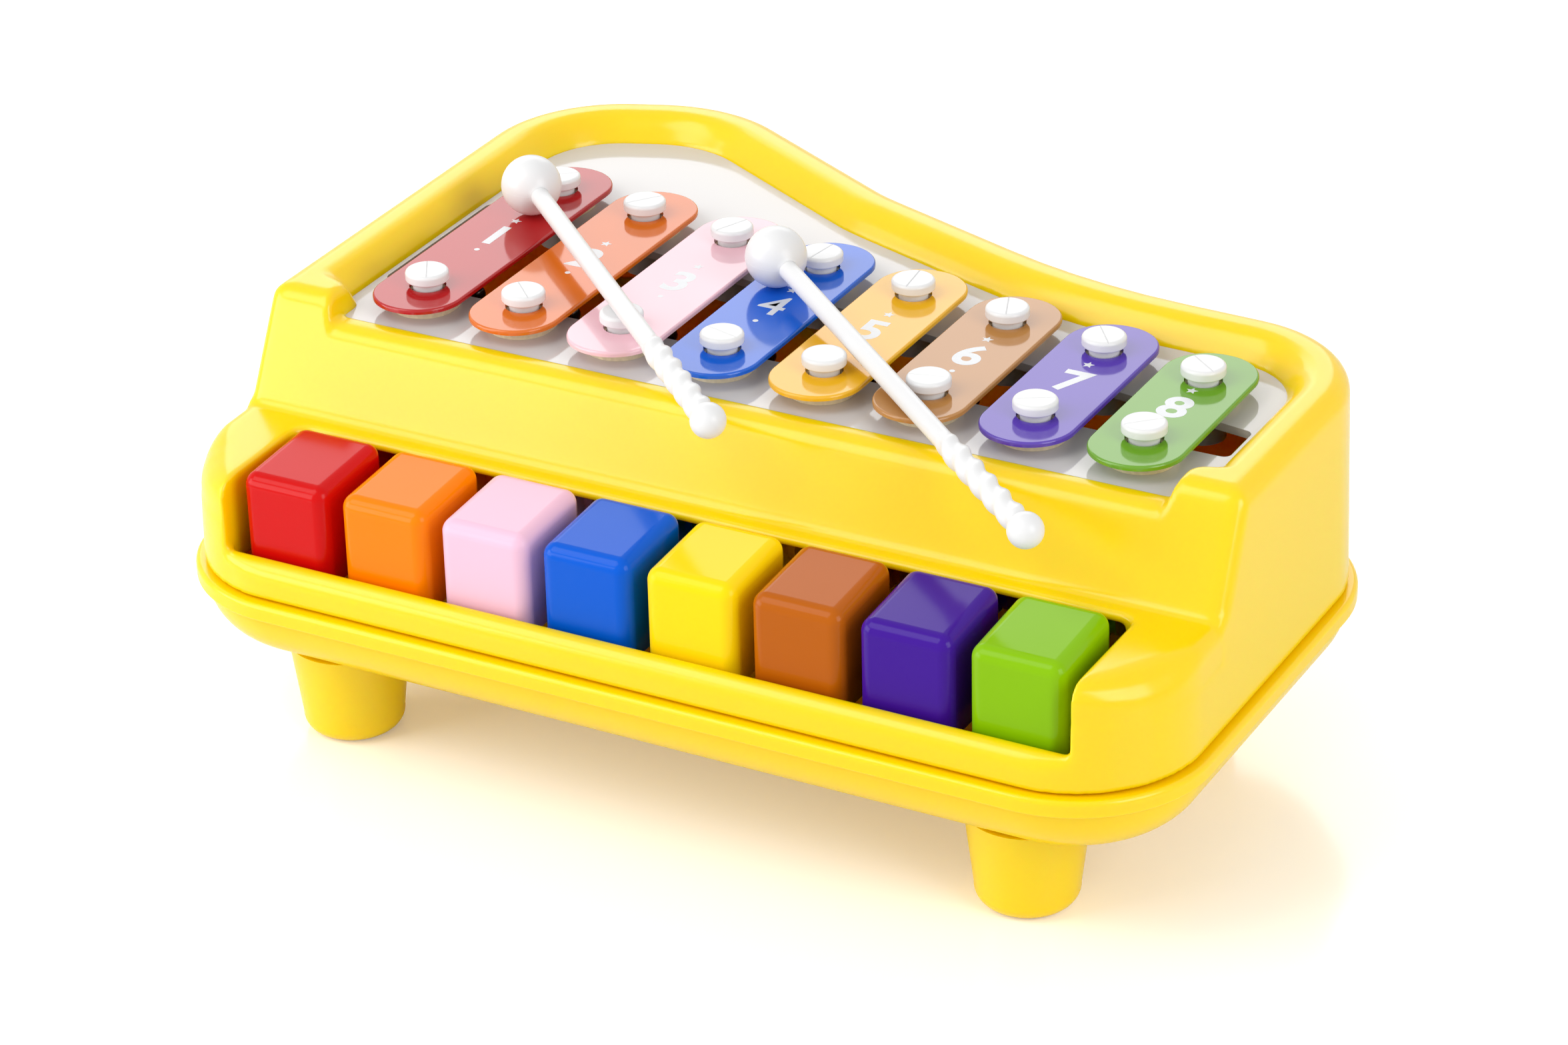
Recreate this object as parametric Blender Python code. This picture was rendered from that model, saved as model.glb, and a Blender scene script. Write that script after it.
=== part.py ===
"""Toy xylophone shaped like a small grand piano: cube keys swing hammers up against sheet metal bars.

Metres, +Z up, feet on z = 0. The player sits at -Y and x = 0 is the middle of the key row.
While the pieces are made, y = 0 runs along the ledge in front of the bars. At the end one empty
moves them all, so that the world origin is at the bottom centre of the whole toy.
"""
import math

import bmesh
import bpy
from mathutils import Matrix, Vector

for leftover in list(bpy.data.objects):
    bpy.data.objects.remove(leftover, do_unlink=True)

# Fits shared by all pieces
CLEARANCE = 0.0003
OVERRUN = 0.002
SKIN_OVERRUN = 0.00004
ARC_STEP = math.radians(17.0)
WALL = 0.0024

# Note row: keys, levers, hammers and bars repeat at one pitch
NOTE_COUNT = 8
NOTE_PITCH = 0.027
ROW_HALF = NOTE_COUNT * NOTE_PITCH / 2

# Heights of the two shells, stacked from the pan's floor to the rim's top
PAN_FLOOR_Z = 0.0240
PAN_DEPTH = 0.0186
SILL_HEIGHT = 0.0091
CHEEK_HEIGHT = 0.0269
PANEL_HEIGHT = 0.0201
RIM_HEIGHT = 0.0064
SEAM_Z = PAN_FLOOR_Z + PAN_DEPTH
SILL_Z = SEAM_Z + SILL_HEIGHT
CHEEK_Z = SEAM_Z + CHEEK_HEIGHT
LEDGE_Z = CHEEK_Z + PANEL_HEIGHT
RIM_Z = LEDGE_Z + RIM_HEIGHT
DRAFT = 0.0013

# Front to rear: panel, key well, keys and sill follow each other forwards from the ledge
PANEL_TOP_Y = -0.0067
PANEL_LEAN = 0.0096
WELL_SETBACK = 0.0052
KEY_REAR_GAP = 0.0059
KEY_DEPTH = 0.0246
KEY_FRONT_GAP = 0.0013
SILL_DEPTH = 0.0051
PANEL_FOOT_Y = PANEL_TOP_Y - PANEL_LEAN
WELL_REAR_Y = PANEL_FOOT_Y - WELL_SETBACK
KEY_FRONT_Y = WELL_REAR_Y - KEY_REAR_GAP - KEY_DEPTH
SILL_REAR_Y = KEY_FRONT_Y - KEY_FRONT_GAP
FRONT_Y = SILL_REAR_Y - SILL_DEPTH

# Pegs and bars: the front pegs stand in line, the rear ones come forward from note to note
PEG_FRONT_Y = 0.0151
PEG_REAR_FIRST_Y = 0.0779
PEG_REAR_LAST_Y = 0.0478
PEG_REAR_STEP = (PEG_REAR_FIRST_Y - PEG_REAR_LAST_Y) / (NOTE_COUNT - 1)
BAR_OVERHANG = 0.0147
BAR_GAP = 0.0042
BAR_WIDTH = NOTE_PITCH - BAR_GAP
BAR_STAND = 0.0047
BAR_SHEET = 0.0012
BAR_EDGE_HEIGHT = 0.0017
BAR_EDGE_RADIUS = 0.0010
BAR_CORNER_RADIUS = 0.0100

# Plan outline of the housing wall at the seam: the rear follows the bars
SIDE_WIDTH = 0.0206
HALF_WIDTH = ROW_HALF + SIDE_WIDTH
FRONT_RADIUS = 0.031
RIGHT_REAR_MARGIN = 0.0199
RIGHT_REAR_Y = PEG_REAR_LAST_Y + BAR_OVERHANG + RIGHT_REAR_MARGIN
RIGHT_REAR_RADIUS = 0.034
LEFT_REAR_MARGIN = 0.0326
LEFT_REAR_Y = PEG_REAR_FIRST_Y + BAR_OVERHANG + LEFT_REAR_MARGIN
LEFT_REAR_RADIUS = 0.037
WAIST_RISE = 0.0028
WAIST_Y = RIGHT_REAR_Y + WAIST_RISE
WAIST_RADIUS = 0.160
TAIL_RISE = 0.0190
TAIL_Y = LEFT_REAR_Y + TAIL_RISE
TAIL_RADIUS = 0.042
SHOULDER_RADIUS = 0.050
# Shares of the half width, and of the way from the waist to the tail
WAIST_X_SHARE = 0.389
SHOULDER_X_SHARE = -0.128
SHOULDER_Y_SHARE = 0.412
TAIL_X_SHARE = -0.618

# Key well, sill and cheeks
WELL_SIDE_GAP = 0.0012
WELL_HALF = ROW_HALF + WELL_SIDE_GAP
WELL_RADIUS = 0.003
SILL_ROUNDING = 0.005
SILL_THINNEST = 0.0005
SILL_ROUNDING_SHARE = 0.85
CHEEK_ROUNDING = 0.008
CHEEK_ROUNDING_END = 0.0005
CHEEK_FADE_START_Y = -0.040
CHEEK_FADE_END_Y = PANEL_FOOT_Y

# Slanted front panel and the ledge on top of it
PANEL_FOOT_FILLET = 0.0035
PANEL_SIDE_RADIUS = 0.004
POST_TOP_ROUNDING = 0.0035
LEDGE_ROUNDING = 0.003

# Rim round the bars, and the posts that end it at the front
RIM_WIDTH = 0.0156
RIM_EDGE = 0.0046
RIM_CREST = 0.0040
CHANNEL_INSET = 0.0033
POST_GAP = 0.0010
POST_HALF_GAP = ROW_HALF + POST_GAP
POST_REAR_Y = 0.0065
POST_JOG = 0.0025
POST_RADIUS = 0.004
POST_FOOT_RADIUS = 0.003
POST_RADIUS_SHARE = 0.7
POST_FOOT_RADIUS_SHARE = 0.51
POST_LEAN_SHARE = 0.4
# Inside slope of the rim: shares of the way out from its foot to the crest, and of the way up
RIM_SLOPE_SHARES = [(0.0, 0.0), (0.2, 0.3), (0.5, 0.72), (0.8, 0.95), (1.0, 1.01), (1.02, 1.4)]

# Bed that carries the bars, with the slot that the hammers come up through
BED_THICKNESS = 0.0020
BED_TOP_Z = LEDGE_Z - CLEARANCE
BED_FRONT_Y = 0.0020
BED_FLANGE = 0.0036
SEAT_Z = BED_TOP_Z - BED_THICKNESS - CLEARANCE
SLOT_FRONT_GAP = 0.0073
SLOT_REAR_GAP = 0.0085
SLOT_RADIUS = 0.003
FELT_DISC_RADIUS = 0.008
BOSS_WALL = 0.0017
BOSS_LENGTH = 0.0075
BAR_TOP_Z = BED_TOP_Z + BAR_STAND
FELT_DISC_Z = BAR_TOP_Z - BAR_SHEET - CLEARANCE

# Pegs
PEG_LIFT = 0.0016
PEG_HEAD_RADIUS = 0.0053
PEG_HEAD_HEIGHT = 0.0026
PEG_HEAD_ROUNDING = 0.0009
PEG_SHANK_RADIUS = 0.0036
PEG_TOP_Z = BAR_TOP_Z + PEG_LIFT + PEG_HEAD_HEIGHT
BAR_HOLE_GAP = 0.0009
BAR_HOLE_RADIUS = PEG_SHANK_RADIUS + BAR_HOLE_GAP

# Key cubes, given at rest
KEY_GAP = 0.00405
KEY_WIDTH = NOTE_PITCH - KEY_GAP
KEY_PROUD = 0.00285
KEY_TOP_Z = CHEEK_Z + KEY_PROUD
KEY_BOTTOM_RISE = 0.0034
KEY_BOTTOM_Z = SEAM_Z + KEY_BOTTOM_RISE
KEY_ROUNDING = 0.0023
KEY_WALL = 0.0018

# Levers on their axle
AXLE_Y = -0.0060
AXLE_DROP = 0.0095
AXLE_Z = CHEEK_Z - AXLE_DROP
AXLE_RADIUS = 0.0015
LEVER_WIDTH = 0.0060
LEVER_HEIGHT = 0.0080
HUB_RADIUS = 0.0046
HUB_WIDTH = 0.0100
RISER_DEPTH = 0.0052
RISER_BEND_RADIUS = 0.003

# Hammer tips: a ball just under the bed at rest
TIP_SETBACK = 0.0113
TIP_Y = PEG_REAR_LAST_Y - TIP_SETBACK
TIP_DROP = 0.0068
TIP_BALL_Z = BED_TOP_Z - TIP_DROP
TIP_BALL_RADIUS = 0.0023
TIP_NECK_RADIUS = 0.0012
TIP_COLLAR_RADIUS = 0.0026
TIP_COLLAR_HEIGHT = 0.0012
TIP_STUD_RADIUS = 0.0011
TIP_STUD_LENGTH = 0.0060
STRIKE_GAP = 0.0004
RISER_TOP_Z = TIP_BALL_Z - TIP_BALL_RADIUS - TIP_COLLAR_HEIGHT - CLEARANCE

# Base pan: its wall bends up from the floor to the lip
LIP_HEIGHT = 0.0042
LIP_REACH = 0.0022
LIP_ROUNDING = 0.0012
PAN_BEND_RADIUS = PAN_DEPTH - CLEARANCE - LIP_HEIGHT
TONGUE_HEIGHT = 0.0030
TONGUE_THICKNESS = 0.0016

# Parts of the pan that carry the keys
BRACKET_THICKNESS = 0.0040
BRACKET_DEPTH = 0.0110
BRACKET_CROWN = 0.0038
BRACKET_MOUTH_SHARE = 0.8
AXLE_END = 0.0015
AXLE_HALF_LENGTH = ROW_HALF + BRACKET_THICKNESS / 2 + AXLE_END
RIB_THICKNESS = 0.0022
FELT_THICKNESS = 0.0020
FELT_WIDTH = 0.0050
FELT_HALF_LENGTH = ROW_HALF - BRACKET_THICKNESS
REST_RIB_Y = 0.0220
REST_FELT_Z = AXLE_Z - LEVER_HEIGHT / 2 - CLEARANCE

# Screws and their columns
SCREW_SIDE_INSET = 0.0146
SCREW_FRONT_Y = 0.0060
SCREW_REAR_INSET = 0.0248
SCREW_RADIUS = 0.0015
SCREW_HEAD_RADIUS = 0.0031
SCREW_HEAD_HEIGHT = 0.0022
SCREW_CROWN_SHARE = 0.8
SCREW_RECESS = 0.0060
SCREW_LENGTH = 0.0280
COLUMN_RADIUS = 0.0050
COLUMN_RISE = 0.0024
COLUMN_JOINT_Z = SEAM_Z + COLUMN_RISE

# Feet
FOOT_TOP_RADIUS = 0.0145
FOOT_BOTTOM_RADIUS = 0.0122
FOOT_ROUNDING = 0.0035
FOOT_PLUG_RADIUS = 0.0050
FOOT_PLUG_HEIGHT = 0.0045
FOOT_WALL = 0.0024
FOOT_SIDE_INSET = 0.0388
FOOT_FRONT_INSET = 0.0231
FOOT_RIGHT_REAR_INSET = 0.0324
FOOT_LEFT_SIDE_INSET = 0.0436
FOOT_LEFT_REAR_INSET = 0.0172

# Mallets, which lie over the bars. A head's place is given as shares of the row's half length and of
# the way from the front pegs to the first rear peg
MALLET_HEAD_RADIUS = 0.0075
MALLET_STICK_RADIUS = 0.00195
MALLET_GRIP_RADIUS = 0.0028
MALLET_BULB_RADIUS = 0.0042
MALLET_SOCKET_DEPTH = 0.0060
MALLET_LENGTH = 0.1366
MALLET_GRIP_SHARE = 0.64
GRIP_LOBE_SHARE = 0.28
GRIP_SWELL_SHARE = 0.25
GRIP_TURNS = 1.5
MALLET_1_HEAD_SHARES = (-0.861, 0.747)
MALLET_1_ASIDE = 0.0011
MALLET_2_HEAD_SHARES = (-0.167, 0.564)
MALLET_2_INSET = 0.0036

# How far a key goes down: until its hammer's ball is one strike gap under the bar
HAMMER_REACH = math.hypot(TIP_Y - AXLE_Y, TIP_BALL_Z - AXLE_Z)
HAMMER_ANGLE = math.atan2(TIP_BALL_Z - AXLE_Z, TIP_Y - AXLE_Y)
STRIKE_Z = BAR_TOP_Z - BAR_SHEET - STRIKE_GAP - TIP_BALL_RADIUS
KEY_TRAVEL = math.asin((STRIKE_Z - AXLE_Z) / HAMMER_REACH) - HAMMER_ANGLE
PRESSED_EDGE = Matrix.Rotation(KEY_TRAVEL, 2) @ Vector((KEY_FRONT_Y - AXLE_Y, KEY_BOTTOM_Z - AXLE_Z))
STOP_Y = AXLE_Y + PRESSED_EDGE.x + KEY_WALL / 2
STOP_FELT_Z = AXLE_Z + PRESSED_EDGE.y - CLEARANCE

# Colours as they are seen, 0 to 255
YELLOW = (255, 224, 10)
WHITE = (240, 240, 238)
PEARL = (214, 212, 210)
FELT_GREY = (70, 70, 72)
STEEL = (178, 180, 184)
DARK_STEEL = (70, 66, 64)
KEY_COLOURS = [(224, 24, 20), (255, 140, 0), (248, 205, 225), (0, 100, 215),
               (255, 230, 30), (190, 98, 18), (72, 30, 150), (140, 195, 15)]
BAR_COLOURS = [(185, 28, 30), (224, 120, 40), (240, 200, 210), (15, 95, 205),
               (240, 190, 40), (190, 140, 80), (95, 70, 175), (115, 165, 45)]


def linear(channel):
    """Turn one seen colour channel into the linear value that a shader takes."""
    share = channel / 255.0
    if share <= 0.04045:
        return share / 12.92
    return ((share + 0.055) / 1.055) ** 2.4


def finish(name, colour, roughness, metallic=0.0):
    """Make a material from a seen colour."""
    material = bpy.data.materials.new(name)
    material.use_nodes = True
    shader = material.node_tree.nodes["Principled BSDF"]
    shader.inputs["Base Color"].default_value = (*[linear(channel) for channel in colour], 1.0)
    shader.inputs["Roughness"].default_value = roughness
    shader.inputs["Metallic"].default_value = metallic
    return material


def note_x(index):
    """Middle of one note's key, lever, hammer and bar."""
    return (index - (NOTE_COUNT - 1) / 2) * NOTE_PITCH


def inset_corners(corners, inset):
    """Move each side of a counter-clockwise outline inwards, and change its corner radii to suit.

    A corner with no radius stays sharp.
    """
    moved = []
    for index, (x, y, radius) in enumerate(corners):
        here = Vector((x, y))
        along_in = (here - Vector(corners[index - 1][:2])).normalized()
        along_out = (Vector(corners[(index + 1) % len(corners)][:2]) - here).normalized()
        normal_in = Vector((-along_in.y, along_in.x))
        normal_out = Vector((-along_out.y, along_out.x))
        shift = (normal_in + normal_out) * (inset / (1.0 + normal_in.dot(normal_out)))
        side = math.copysign(1.0, along_in.cross(along_out))
        inner_radius = max(radius - side * inset, SKIN_OVERRUN) if radius else 0.0
        moved.append((x + shift.x, y + shift.y, inner_radius))
    return moved


def rounded(corners, steps=None):
    """Points along an outline whose corners are arcs; steps gives one count for every corner."""
    points = []
    for index, (x, y, radius) in enumerate(corners):
        if not radius:
            points.append((x, y))
            continue
        here = Vector((x, y))
        along_in = (here - Vector(corners[index - 1][:2])).normalized()
        along_out = (Vector(corners[(index + 1) % len(corners)][:2]) - here).normalized()
        turn = math.atan2(along_in.cross(along_out), along_in.dot(along_out))
        side = math.copysign(1.0, turn)
        start = here - along_in * (radius * math.tan(abs(turn) / 2))
        centre = start + Vector((-along_in.y, along_in.x)) * (side * radius)
        count = steps or max(2, math.ceil(round(abs(turn) / ARC_STEP, 2)))
        spoke = start - centre
        for step in range(count + 1):
            swing = Matrix.Rotation(turn * step / count, 2)
            points.append(tuple(centre + swing @ spoke))
    return points


def level(points, z):
    """Lift a plan outline to one height."""
    return [(x, y, z) for x, y in points]


def loft(rings, closed=False):
    """Skin rings of points into one body; a ring of one point is a tip, other open ends are capped."""
    body = bmesh.new()
    rows = [[body.verts.new(point) for point in ring] for ring in rings]
    pairs = list(zip(rows, rows[1:]))
    if closed:
        pairs.append((rows[-1], rows[0]))
    for lower, upper in pairs:
        count = max(len(lower), len(upper))
        for index in range(count):
            following = (index + 1) % count
            corners = [lower[index % len(lower)], lower[following % len(lower)],
                       upper[following % len(upper)], upper[index % len(upper)]]
            body.faces.new(list(dict.fromkeys(corners)))
    if not closed:
        for row in (rows[0], rows[-1]):
            if len(row) > 2:
                body.faces.new(row)
    bmesh.ops.recalc_face_normals(body, faces=body.faces)
    return body


def prism(outline, low_z, high_z):
    """Upright body with one plan outline."""
    return loft([level(outline, low_z), level(outline, high_z)])


def turned(profile, segments, x=0.0, y=0.0):
    """Turn (radius, height) pairs about a vertical axis; radius zero makes a tip."""
    rings = []
    for radius, z in profile:
        if radius == 0.0:
            rings.append([(x, y, z)])
            continue
        angles = [math.tau * index / segments for index in range(segments)]
        rings.append([(x + radius * math.cos(angle), y + radius * math.sin(angle), z) for angle in angles])
    return loft(rings)


def block(low, high):
    """Plain box between two corners, for cutting and for ribs."""
    plan = [(low[0], low[1]), (high[0], low[1]), (high[0], high[1]), (low[0], high[1])]
    return prism(plan, low[2], high[2])


def extruded_in_x(profile, low_x, high_x):
    """Extrude a (y, z) outline along x."""
    return loft([[(x, y, z) for y, z in profile] for x in (low_x, high_x)])


def arc(centre_a, centre_b, radius, start, end, steps):
    """Points of an arc from one angle to another, in degrees."""
    angles = [math.radians(start + (end - start) * step / steps) for step in range(steps + 1)]
    return [(centre_a + radius * math.cos(angle), centre_b + radius * math.sin(angle)) for angle in angles]


def circle(radius, sides):
    """Points round a full circle at the origin, for rods and bores that run across."""
    angles = [math.tau * index / sides for index in range(sides)]
    return [(radius * math.cos(angle), radius * math.sin(angle)) for angle in angles]


def gather(bodies):
    """Put separate bodies into one mesh, to join or cut them in one go."""
    everything = bmesh.new()
    for body in bodies:
        copy = bpy.data.meshes.new("copy")
        body.to_mesh(copy)
        everything.from_mesh(copy)
        bpy.data.meshes.remove(copy)
        body.free()
    return everything


def rounds(places, radius, low_z, high_z, sides):
    """Upright round bodies of one size at several places, in one mesh."""
    return gather([turned([(radius, low_z), (radius, high_z)], sides, x, y) for x, y in places])


def piece(name, body, material, smooth_angle=40.0):
    """Turn a bmesh into a named object with its own material."""
    mesh = bpy.data.meshes.new(name)
    body.to_mesh(mesh)
    body.free()
    mesh.materials.append(material)
    item = bpy.data.objects.new(name, mesh)
    bpy.context.collection.objects.link(item)
    shade(item, smooth_angle)
    return item


def shade(item, smooth_angle=40.0):
    """Smooth the round faces and keep the real edges sharp."""
    item.data.shade_smooth()
    item.data.set_sharp_from_angle(angle=math.radians(smooth_angle))


def combine(item, body, operation):
    """Join a bmesh to an object, or cut it away."""
    mesh = bpy.data.meshes.new("tool")
    body.to_mesh(mesh)
    body.free()
    tool = bpy.data.objects.new("tool", mesh)
    tool.hide_render = True
    tool.display_type = "WIRE"
    bpy.context.collection.objects.link(tool)
    step = item.modifiers.new("step", "BOOLEAN")
    step.operation = operation
    step.solver = "EXACT"
    step.object = tool
    result = bpy.data.meshes.new_from_object(item.evaluated_get(bpy.context.evaluated_depsgraph_get()))
    item.modifiers.clear()
    item.data = result
    bpy.data.objects.remove(tool, do_unlink=True)
    shade(item)


def cut(item, body):
    """Cut a body away."""
    combine(item, body, "DIFFERENCE")


def join(item, body):
    """Join a body on."""
    combine(item, body, "UNION")


# Housing outline and the shapes that follow from it
REAR_CORNERS = [
    (HALF_WIDTH, RIGHT_REAR_Y, RIGHT_REAR_RADIUS),
    (HALF_WIDTH * WAIST_X_SHARE, WAIST_Y, WAIST_RADIUS),
    (HALF_WIDTH * SHOULDER_X_SHARE, WAIST_Y + (TAIL_Y - WAIST_Y) * SHOULDER_Y_SHARE, SHOULDER_RADIUS),
    (HALF_WIDTH * TAIL_X_SHARE, TAIL_Y, TAIL_RADIUS),
    (-HALF_WIDTH, LEFT_REAR_Y, LEFT_REAR_RADIUS),
]
OUTLINE = [(-HALF_WIDTH, FRONT_Y, FRONT_RADIUS), (HALF_WIDTH, FRONT_Y, FRONT_RADIUS)] + REAR_CORNERS


def draft_at(z):
    """How far the moulded wall has leaned in at a height."""
    return DRAFT * (z - SEAM_Z) / (RIM_Z - SEAM_Z)


def outline_at(inset, z):
    """One ring of the housing wall, moved inwards by inset from the drafted outside."""
    return level(rounded(inset_corners(OUTLINE, inset + draft_at(z))), z)


def panel_y(z):
    """Front face of the slanted panel."""
    return PANEL_FOOT_Y + (PANEL_TOP_Y - PANEL_FOOT_Y) * (z - CHEEK_Z) / (LEDGE_Z - CHEEK_Z)


def behind_panel(inset, z):
    """Ring of the space behind the panel, inside the wall by inset."""
    front = panel_y(z)
    corners = [(-HALF_WIDTH, front, PANEL_SIDE_RADIUS), (HALF_WIDTH, front, PANEL_SIDE_RADIUS)] + REAR_CORNERS
    return level(rounded(inset_corners(corners, inset + draft_at(z))), z)


def as_tool(item):
    """Take a cut object's shape back out of the scene, to use it as a tool."""
    body = bmesh.new()
    body.from_mesh(item.data)
    bpy.data.objects.remove(item, do_unlink=True)
    return body


def lower_hollow_tool():
    """Hollow of the key block, leaving the cheeks' inner walls and the sill's top standing."""
    ceiling = CHEEK_Z - WALL
    hollow = piece("hollow", loft([outline_at(WALL, SEAM_Z - OVERRUN),
                                   outline_at(WALL, CHEEK_Z - CHEEK_ROUNDING - WALL / 2),
                                   outline_at(WALL + CHEEK_ROUNDING / 3, ceiling - CHEEK_ROUNDING / 4),
                                   outline_at(WALL + CHEEK_ROUNDING, ceiling)]), yellow)
    walls = [block((side * WELL_HALF - WALL, FRONT_Y, SILL_Z - 2 * WALL),
                   (side * WELL_HALF + WALL, WELL_REAR_Y + WALL, CHEEK_Z)) for side in (-1, 1)]
    cut(hollow, gather(walls))
    sill_half = WELL_HALF + WALL / 2
    cut(hollow, block((-sill_half, FRONT_Y, SILL_Z - WALL), (sill_half, SILL_REAR_Y + WALL, CHEEK_Z)))
    return as_tool(hollow)


def edge_rounding_tool(top_z, radius_at, low, high, steps=4):
    """Waste outside a top edge that is rounded by a radius which varies along the outline."""
    wall = rounded(inset_corners(OUTLINE, draft_at(top_z) - SKIN_OVERRUN))
    inner = rounded(inset_corners(OUTLINE, draft_at(top_z) - SKIN_OVERRUN + WALL))
    normals = [(Vector(b) - Vector(a)).normalized() for a, b in zip(wall, inner)]
    radii = [radius_at(x, y) for x, y in wall]
    rings = [level(wall, low[2] - OVERRUN)]
    for step in range(steps + 1):
        angle = math.pi / 2 * step / steps
        ring = []
        for (x, y), normal, radius in zip(wall, normals, radii):
            shift = normal * (radius * (1.0 - math.cos(angle)))
            ring.append((x + shift.x, y + shift.y, top_z - radius * (1.0 - math.sin(angle))))
        rings.append(ring)
    waste = piece("waste", block(low, high), yellow)
    cut(waste, loft(rings))
    return as_tool(waste)


def recess_corners(spread, front_y):
    """Inside of the rim with the two posts, widened by spread from its foot.

    The rounding of a post is no larger than the step between the post and the rim allows.
    """
    rear = inset_corners(OUTLINE, RIM_WIDTH - spread)[2:]
    foot_x = HALF_WIDTH - RIM_WIDTH + spread
    post_x = POST_HALF_GAP + POST_LEAN_SHARE * spread
    post_y = POST_REAR_Y - POST_LEAN_SHARE * spread
    step = foot_x - post_x
    right = [(post_x, front_y, 0.0),
             (post_x, post_y, min(POST_RADIUS, step * POST_RADIUS_SHARE)),
             (foot_x, post_y + POST_JOG, min(POST_FOOT_RADIUS, step * POST_FOOT_RADIUS_SHARE))]
    left = [(-x, y, radius) for x, y, radius in reversed(right)]
    return right + rear + left


def notch_tool():
    """Waste in front of the panel: foot fillet, slanted face, rounded sides and rounded post tops."""
    lean = math.atan2(PANEL_TOP_Y - PANEL_FOOT_Y, LEDGE_Z - CHEEK_Z)
    faces = []
    fillet_steps = 3
    for step in range(fillet_steps + 1):
        angle = math.pi / 2 * step / fillet_steps
        z = CHEEK_Z + PANEL_FOOT_FILLET * (1.0 - math.cos(angle))
        faces.append((panel_y(z) - PANEL_FOOT_FILLET * (1.0 - math.sin(angle)), z))
    top = RIM_Z - POST_TOP_ROUNDING
    for step in range(fillet_steps + 1):
        angle = math.pi / 2 * step / fillet_steps
        z = top + (POST_TOP_ROUNDING + SKIN_OVERRUN) * math.sin(angle)
        set_in = POST_TOP_ROUNDING * (1.0 - math.cos(angle))
        faces.append((panel_y(top) + set_in + (z - top) * math.tan(lean), z))
    faces.append((faces[-1][0] + OVERRUN, RIM_Z + OVERRUN))
    rings = []
    far_x = HALF_WIDTH + OVERRUN
    far_y = FRONT_Y - OVERRUN
    for y, z in faces:
        side_x = HALF_WIDTH - draft_at(z) + SKIN_OVERRUN
        right = arc(side_x - PANEL_SIDE_RADIUS, y + PANEL_SIDE_RADIUS, PANEL_SIDE_RADIUS, 0.0, -90.0, 4)
        left = [(-x, point_y) for x, point_y in reversed(right)]
        plan = [(-far_x, far_y), (far_x, far_y), (far_x, y + PANEL_SIDE_RADIUS)]
        plan += right + left + [(-far_x, y + PANEL_SIDE_RADIUS)]
        rings.append(level(plan, z))
    return loft(rings)


def ledge_tool():
    """Waste above the ledge's rounded front edge, between the posts."""
    edge_y = panel_y(LEDGE_Z) + LEDGE_ROUNDING
    profile = [(edge_y - LEDGE_ROUNDING - OVERRUN, LEDGE_Z - LEDGE_ROUNDING)]
    profile += arc(edge_y, LEDGE_Z - LEDGE_ROUNDING, LEDGE_ROUNDING + SKIN_OVERRUN, 180.0, 90.0, 5)
    profile += [(edge_y, RIM_Z), (edge_y - LEDGE_ROUNDING - OVERRUN, RIM_Z)]
    return extruded_in_x(profile, -POST_HALF_GAP, POST_HALF_GAP)


def screw_places():
    """Middles of the four case screws, near the housing's corners."""
    x = HALF_WIDTH - SCREW_SIDE_INSET
    return [(-x, SCREW_FRONT_Y), (x, SCREW_FRONT_Y),
            (x, RIGHT_REAR_Y - SCREW_REAR_INSET), (-x, LEFT_REAR_Y - SCREW_REAR_INSET)]


def rim_channel():
    """Hollow under the rim, swept round the rear from one side to the other."""
    roof_z = RIM_Z - WALL - DRAFT
    side_z = BED_TOP_Z - DRAFT
    floor_z = SEAT_Z - WALL - OVERRUN
    profile = [(CHANNEL_INSET, floor_z), (CHANNEL_INSET, side_z), (WALL + RIM_EDGE / 2, roof_z),
               (RIM_WIDTH / 2 + WALL, roof_z), (RIM_WIDTH - WALL - DRAFT, side_z),
               (RIM_WIDTH - WALL - DRAFT, floor_z)]
    start_y = POST_REAR_Y + 2 * POST_RADIUS
    stations = []
    for inset, z in profile:
        ring = [point for point in rounded(inset_corners(OUTLINE, inset + DRAFT)) if point[1] > start_y]
        right_x = HALF_WIDTH - inset - DRAFT
        stations.append(level([(right_x, start_y)] + ring + [(-right_x, start_y)], z))
    return loft([list(section) for section in zip(*stations)])


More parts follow.
